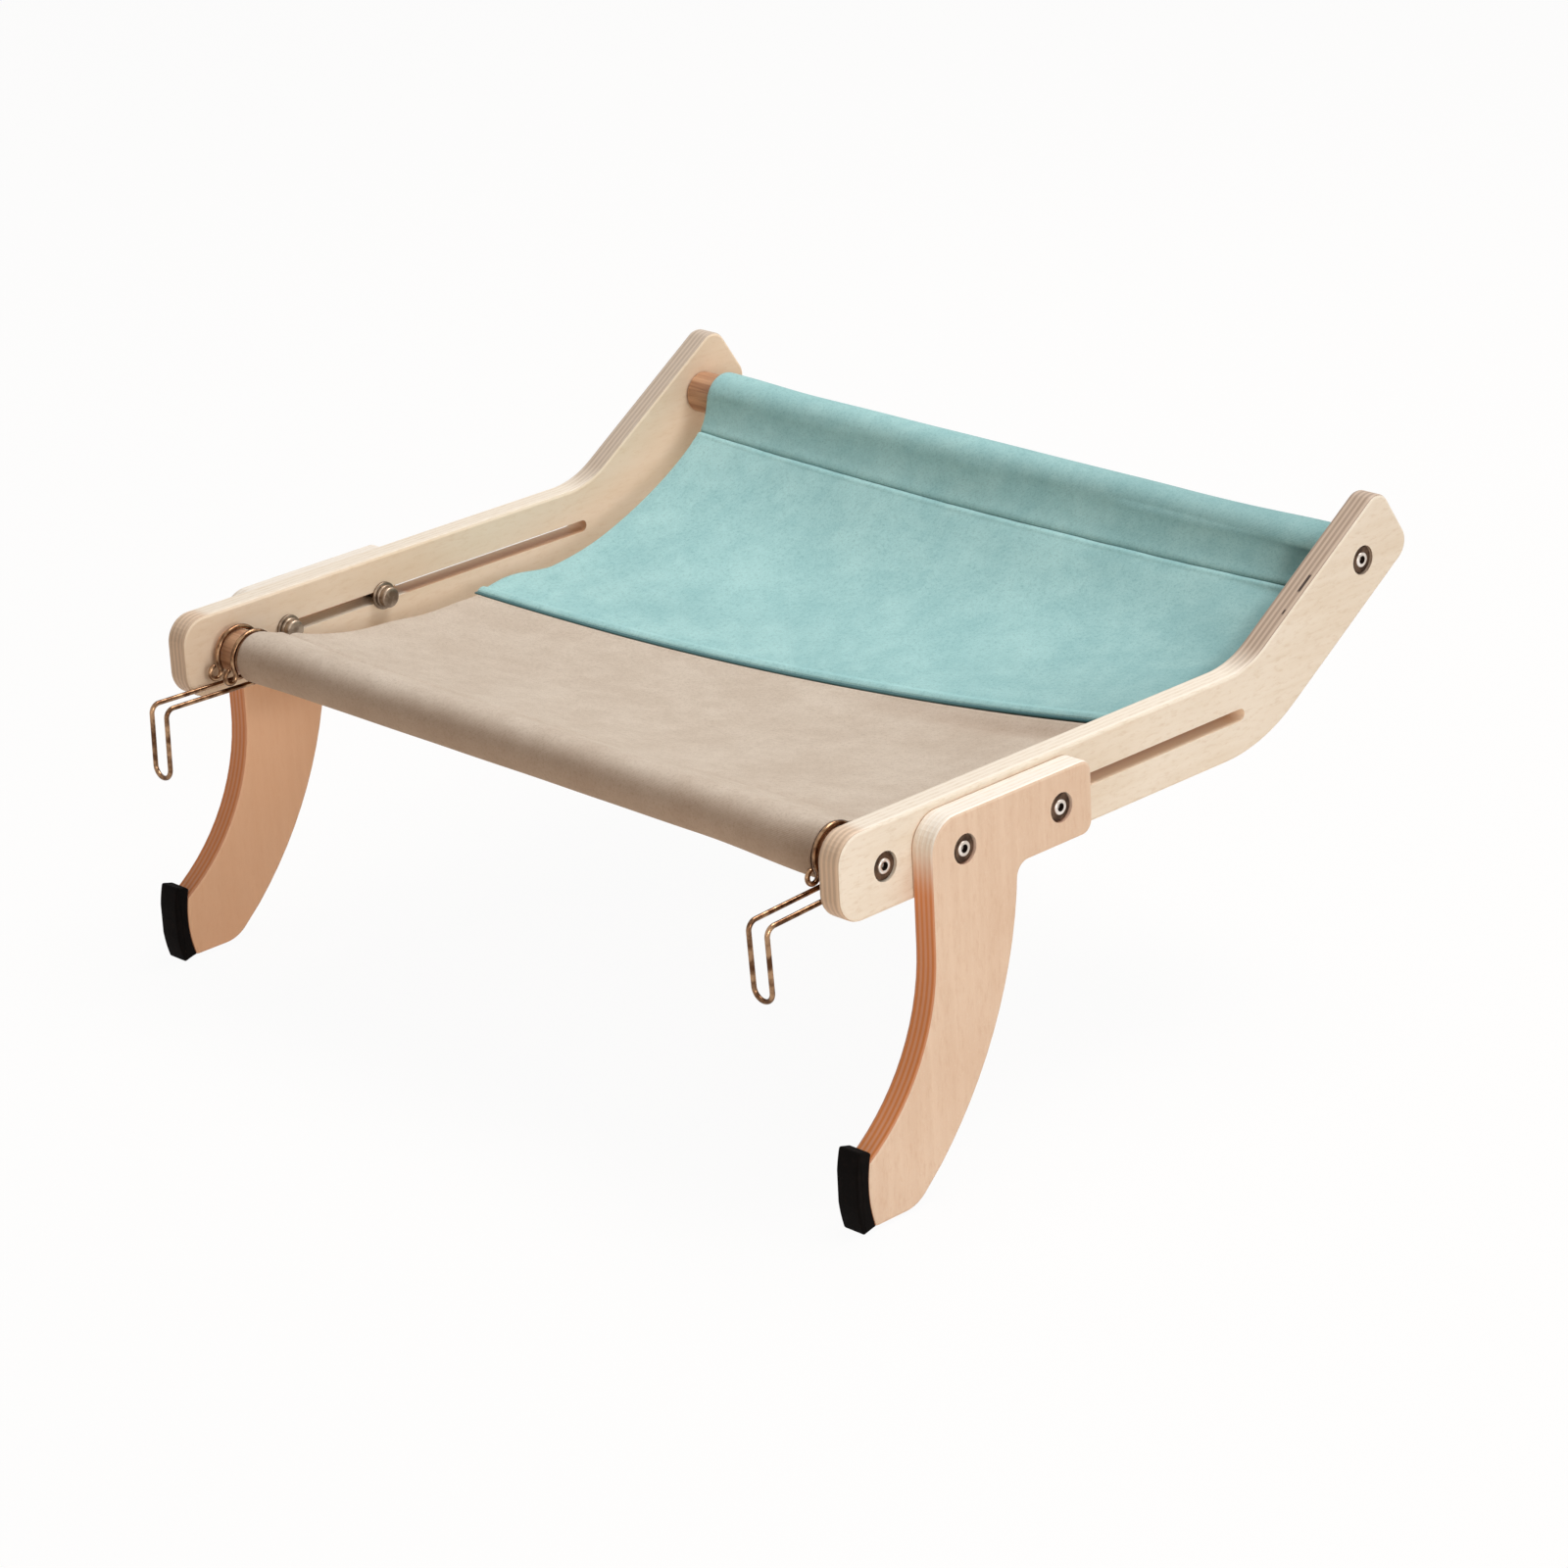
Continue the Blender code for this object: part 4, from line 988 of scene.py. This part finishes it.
def hook_points(side, dip):
    """Route of the wire: eye, loop round the rail, arm, drop, U turn and back."""
    loop = RAIL_RADIUS + HOOK_SLACK + FIT_GAP + WIRE_RADIUS
    first = side * HOOK_OUTER
    second = first - side * HOOK_PITCH
    turn = HOOK_PITCH / 2
    hang = np.array([0.0, -HOOK_SLACK])
    out = np.array([math.cos(math.radians(HOOK_LOOP_END)), math.sin(math.radians(HOOK_LOOP_END))])
    eye = hang + out * (loop + HOOK_EYE)
    half = list(arc(eye, HOOK_EYE, HOOK_EYE_END - HOOK_EYE_TURN, HOOK_EYE_END, 40))
    half += list(arc(hang, loop, HOOK_LOOP_END, HOOK_LOOP_START, 84))[1:]
    for step in range(1, 9):
        half.append(np.array([-(HOOK_REACH - HOOK_BEND) * step / 9, -loop - HOOK_SLACK]))
    corner = hang + np.array([HOOK_BEND - HOOK_REACH, -loop - HOOK_BEND])
    half += list(arc(corner, HOOK_BEND, 90, 180, 14))
    low = -HOOK_SLACK - loop - HOOK_DROP + turn
    for step in range(1, 5):
        half.append(np.array([-HOOK_REACH, corner[1] + (low - corner[1]) * step / 5]))
    points = [(first, y, z) for y, z in half]
    for step in range(25):
        angle = math.pi * step / 24
        x = (first + second) / 2 + side * turn * math.cos(angle)
        points.append((x, -HOOK_REACH, low - turn * math.sin(angle)))
    points += [(second, y, z) for y, z in reversed(half)]
    tilt = Matrix.Rotation(math.radians(dip), 3, "X")
    return [tilt @ Vector(p) for p in points]


for side_name, side, dip in HOOK_DIPS:
    verts, faces = tube_parts(hook_points(side, dip), WIRE_RADIUS, 16, 4)
    piece = add_mesh(f"{side_name}_hook_wire", verts, faces, [WIRE])
    piece.data.shade_smooth()
    dress(piece, f"{side_name}_hook", f"{side_name}_hook_unit")


# ---- wall pads
SHIN_MM = 92.5  # radius of the leg's front edge, in mm
SHIN_CENTRE = Vector((14.5 * MM - SHIN_MM * MM, -40.0 * MM))
FOOT_TOP_REACH = 28.5 * MM
FOOT_TIP = Vector((-26.2 * MM, -147.5 * MM))
FOOT_FACE_RADIUS = 56.0 * MM
PAD_THICKNESS = 6.8 * MM
PAD_OVER_TOP = 5.0 * MM
PAD_UNDER_TIP = 1.0 * MM
PAD_FLAT_HALF = 7.0 * MM
PAD_BACK_RADIUS, PAD_TOP_RADIUS, PAD_FOOT_RADIUS = 1.3 * MM, 2.6 * MM, 1.2 * MM
PAD_INNER, PAD_OUTER = 215.6 * MM - FIT_GAP, 227.3 * MM  # distances from the middle plane
PAD_SOFT = 1.1 * MM  # radius of the soft rim
PAD_SOFT_STEPS = 5
PAD_GRIP = 1.5 * MM  # the rim fades out this near the foot


def trimmed(corners):
    """Closed outline whose corners with a radius are rounded."""
    outline = []
    for index, (corner, radius) in enumerate(corners):
        if not radius:
            outline.append(corner)
            continue
        before = corners[index - 1][0] - corner
        after = corners[(index + 1) % len(corners)][0] - corner
        turn = before.angle(after) / 2
        cut = min(radius / math.tan(turn), before.length * 0.95, after.length * 0.95)
        start = corner + before.normalized() * cut
        end = corner + after.normalized() * cut
        for step in range(9):
            share = step / 8
            outline.append(start * (1 - share) ** 2 + corner * 2 * share * (1 - share) + end * share**2)
    return outline


def ring_arc(centre, radius, start_degrees, end_degrees, steps):
    return [Vector(p) for p in arc(np.array(centre), radius, start_degrees, end_degrees, steps)]


def pad_points():
    """Foam pad bent over the foot's face, with an upright flat to the wall."""
    angle = math.acos((-FOOT_TOP_REACH - SHIN_CENTRE.x) / (SHIN_MM * MM))
    top_point = SHIN_CENTRE + Vector((math.cos(angle), -math.sin(angle))) * SHIN_MM * MM
    chord = top_point - FOOT_TIP
    reach = math.sqrt(FOOT_FACE_RADIUS**2 - (chord.length / 2) ** 2)
    centre = (top_point + FOOT_TIP) / 2 + Vector((chord.y, -chord.x)).normalized() * reach
    angles = [math.degrees(math.atan2(p.y - centre.y, p.x - centre.x)) % 360 for p in (top_point, FOOT_TIP)]
    back = FOOT_FACE_RADIUS + FIT_GAP
    front = back + PAD_THICKNESS
    top = angles[0] - math.degrees(PAD_OVER_TOP / back)
    foot = angles[1] - math.degrees(PAD_UNDER_TIP / back)
    flat = math.degrees(math.asin(PAD_FLAT_HALF / front))
    rear = ring_arc(centre, back, foot, top, 20)
    face = ring_arc(centre, front, top, 180 - flat, 8) + ring_arc(centre, front, 180 + flat, foot, 8)
    corners = [(p, 0) for p in rear[:-1]] + [(rear[-1], PAD_BACK_RADIUS), (face[0], PAD_TOP_RADIUS)]
    corners += [(p, 0) for p in face[1:-1]] + [(face[-1], PAD_FOOT_RADIUS)]
    return trimmed(corners), centre, back


def pad_piece(side_name, side):
    """Soft rim all round: the outline closes in towards both side faces."""
    outline, centre, back = pad_points()
    count = len(outline)
    inward = []
    for index in range(count):
        along = (outline[(index + 1) % count] - outline[index - 1]).normalized()
        inward.append(Vector((-along.y, along.x)))
    if sum(a.cross(b) for a, b in zip(outline, outline[1:] + outline[:1])) < 0:
        inward = [-v for v in inward]
    rings = []
    for step in range(PAD_SOFT_STEPS + 1):
        angle = math.pi / 2 * step / PAD_SOFT_STEPS
        rings.append((PAD_INNER + PAD_SOFT * (1 - math.cos(angle)), PAD_SOFT * (1 - math.sin(angle))))
    rings += [(PAD_INNER + PAD_OUTER - x, sink) for x, sink in reversed(rings)]
    verts = []
    for x, sink in rings:
        for point, toward in zip(outline, inward):
            clear = (point - centre).length - back
            place = point + toward * sink * min(max(clear / PAD_GRIP, 0.0), 1.0)
            verts.append((side * x, place.x, place.y))
    piece = add_mesh(f"{side_name}_wall_pad_fine", verts, rings_to_faces(len(rings), count), [PAD])
    dress(piece, f"{side_name}_wall_pad", f"{side_name}_leg_unit")
    return piece


for side_name, side in (("right", 1.0), ("left", -1.0)):
    pad_piece(side_name, side)

# ---- carried-over nodes
LOOKS = {
    "birch_plywood": BIRCH,
    "leg_wood": LEG_WOOD,
    "rail_wood": ROD,
    "black_pad": PAD,
    "insert_brass": NICKEL,
    "bronze_steel": BRONZE,
    "hook_wire": WIRE,
    "beige_canvas": BEIGE,
    "teal_canvas": TEAL,
}
for entry in frame["record"]["subparts"]:
    for slot in NODES[entry["node"]].material_slots:
        slot.material = LOOKS[entry["material_slot"]]

# ---- floor
FLOOR_WIDE, FLOOR_DEEP, FLOOR_TALL, FLOOR_BEND = 6.0, 4.0, 5.0, 1.2
FLOOR_BELOW = 0.0005  # under the part's lowest point
FLOOR_GLOW = 0.95  # share of white that the camera and reflections see

sweep = [(-FLOOR_DEEP, 0.0), (FLOOR_DEEP - FLOOR_BEND, 0.0)]
for degrees in range(10, 91, 10):
    angle = math.radians(degrees)
    forward = FLOOR_DEEP - FLOOR_BEND + FLOOR_BEND * math.sin(angle)
    sweep.append((forward, FLOOR_BEND - FLOOR_BEND * math.cos(angle)))
sweep.append((FLOOR_DEEP, FLOOR_TALL))
# the sweep rises behind the part, straight away from the camera
heading = Vector((-math.sin(CAMERA_HEADING), math.cos(CAMERA_HEADING), 0.0))
sideways = Vector((math.cos(CAMERA_HEADING), math.sin(CAMERA_HEADING), 0.0))
base = cad_box[0][2] - FLOOR_BELOW
verts = []
for forward, height in sweep:
    for reach in (-FLOOR_WIDE, FLOOR_WIDE):
        place = heading * forward + sideways * reach
        verts.append((place.x, place.y, base + height))
floor_mesh = bpy.data.meshes.new("floor")
floor_mesh.from_pydata(verts, [], [(2 * i, 2 * i + 1, 2 * i + 3, 2 * i + 2) for i in range(len(sweep) - 1)])
floor_mesh.shade_smooth()

n = Nodes("pale_floor")
warm = n.mix(n.noise(n.object_place(), 3.0, 2.0), (0.82, 0.69, 0.57, 1), (0.85, 0.72, 0.60, 1))
n.set(Base_Color=warm, Roughness=0.9, Specular_IOR_Level=0.1)
rays = n.add("ShaderNodeLightPath").outputs
seen = n.math("MAXIMUM", rays["Is Camera Ray"], rays["Is Transmission Ray"])
seen = n.math("MAXIMUM", seen, rays["Is Glossy Ray"])
glow = n.add("ShaderNodeEmission")
glow.inputs["Color"].default_value = (1, 1, 1, 1)
glow.inputs["Strength"].default_value = 1.0
blend = n.add("ShaderNodeMixShader")
n.put(blend.inputs["Fac"], n.times(seen, FLOOR_GLOW))
n.put(blend.inputs[1], n.shader.outputs[0])
n.put(blend.inputs[2], glow.outputs[0])
n.put(n.tree.nodes["Material Output"].inputs["Surface"], blend.outputs[0])
floor_mesh.materials.append(n.mat)
floor = bpy.data.objects.new("floor", floor_mesh)
bpy.context.scene.collection.objects.link(floor)

# ---- world and lights
# white to the camera and in reflections, dim and warm as a light
world = bpy.data.worlds.new("studio")
world.use_nodes = True
bpy.context.scene.world = world
tree = world.node_tree
background = tree.nodes["Background"]
tint = tree.nodes.new("ShaderNodeMix")
tint.data_type = "RGBA"
tint.inputs["A"].default_value = (1.0, 0.95, 0.89, 1.0)
tint.inputs["B"].default_value = (1.0, 1.0, 1.0, 1.0)
tree.links.new(tint.outputs["Result"], background.inputs["Color"])
strength = tree.nodes.new("ShaderNodeMapRange")
strength.inputs["To Min"].default_value = 0.22
strength.inputs["To Max"].default_value = 1.0
tree.links.new(strength.outputs["Result"], background.inputs["Strength"])
path = tree.nodes.new("ShaderNodeLightPath")
seen = path.outputs["Is Camera Ray"]
for kind in ("Is Glossy Ray", "Is Transmission Ray"):
    most = tree.nodes.new("ShaderNodeMath")
    most.operation = "MAXIMUM"
    tree.links.new(path.outputs[kind], most.inputs[0])
    tree.links.new(seen, most.inputs[1])
    seen = most.outputs[0]
tree.links.new(seen, strength.inputs["Value"])
tree.links.new(seen, tint.inputs["Factor"])


def area_light(name, place, aim, size, power, colour):
    data = bpy.data.lights.new(name, "AREA")
    data.shape = "RECTANGLE"
    data.size, data.size_y = size
    data.energy = power
    data.color = colour
    lamp = bpy.data.objects.new(name, data)
    lamp.location = place
    lamp.rotation_euler = (Vector(aim) - Vector(place)).to_track_quat("-Z", "Y").to_euler()
    bpy.context.scene.collection.objects.link(lamp)


area_light("key", (1.55, -0.50, 0.38), (0.10, 0.06, 0.0), (0.6, 0.5), 7.8, (1.0, 0.99, 0.98))
area_light("top", (0.25, 0.80, 1.88), (0.0, 0.13, 0.0), (1.6, 1.0), 40.5, (0.99, 0.99, 1.0))
area_light("low_fill", (1.15, -1.75, 0.02), (-0.05, 0.0, -0.08), (1.0, 0.5), 3.0, (1.0, 0.76, 0.60))

bpy.context.scene.view_settings.view_transform = "Standard"
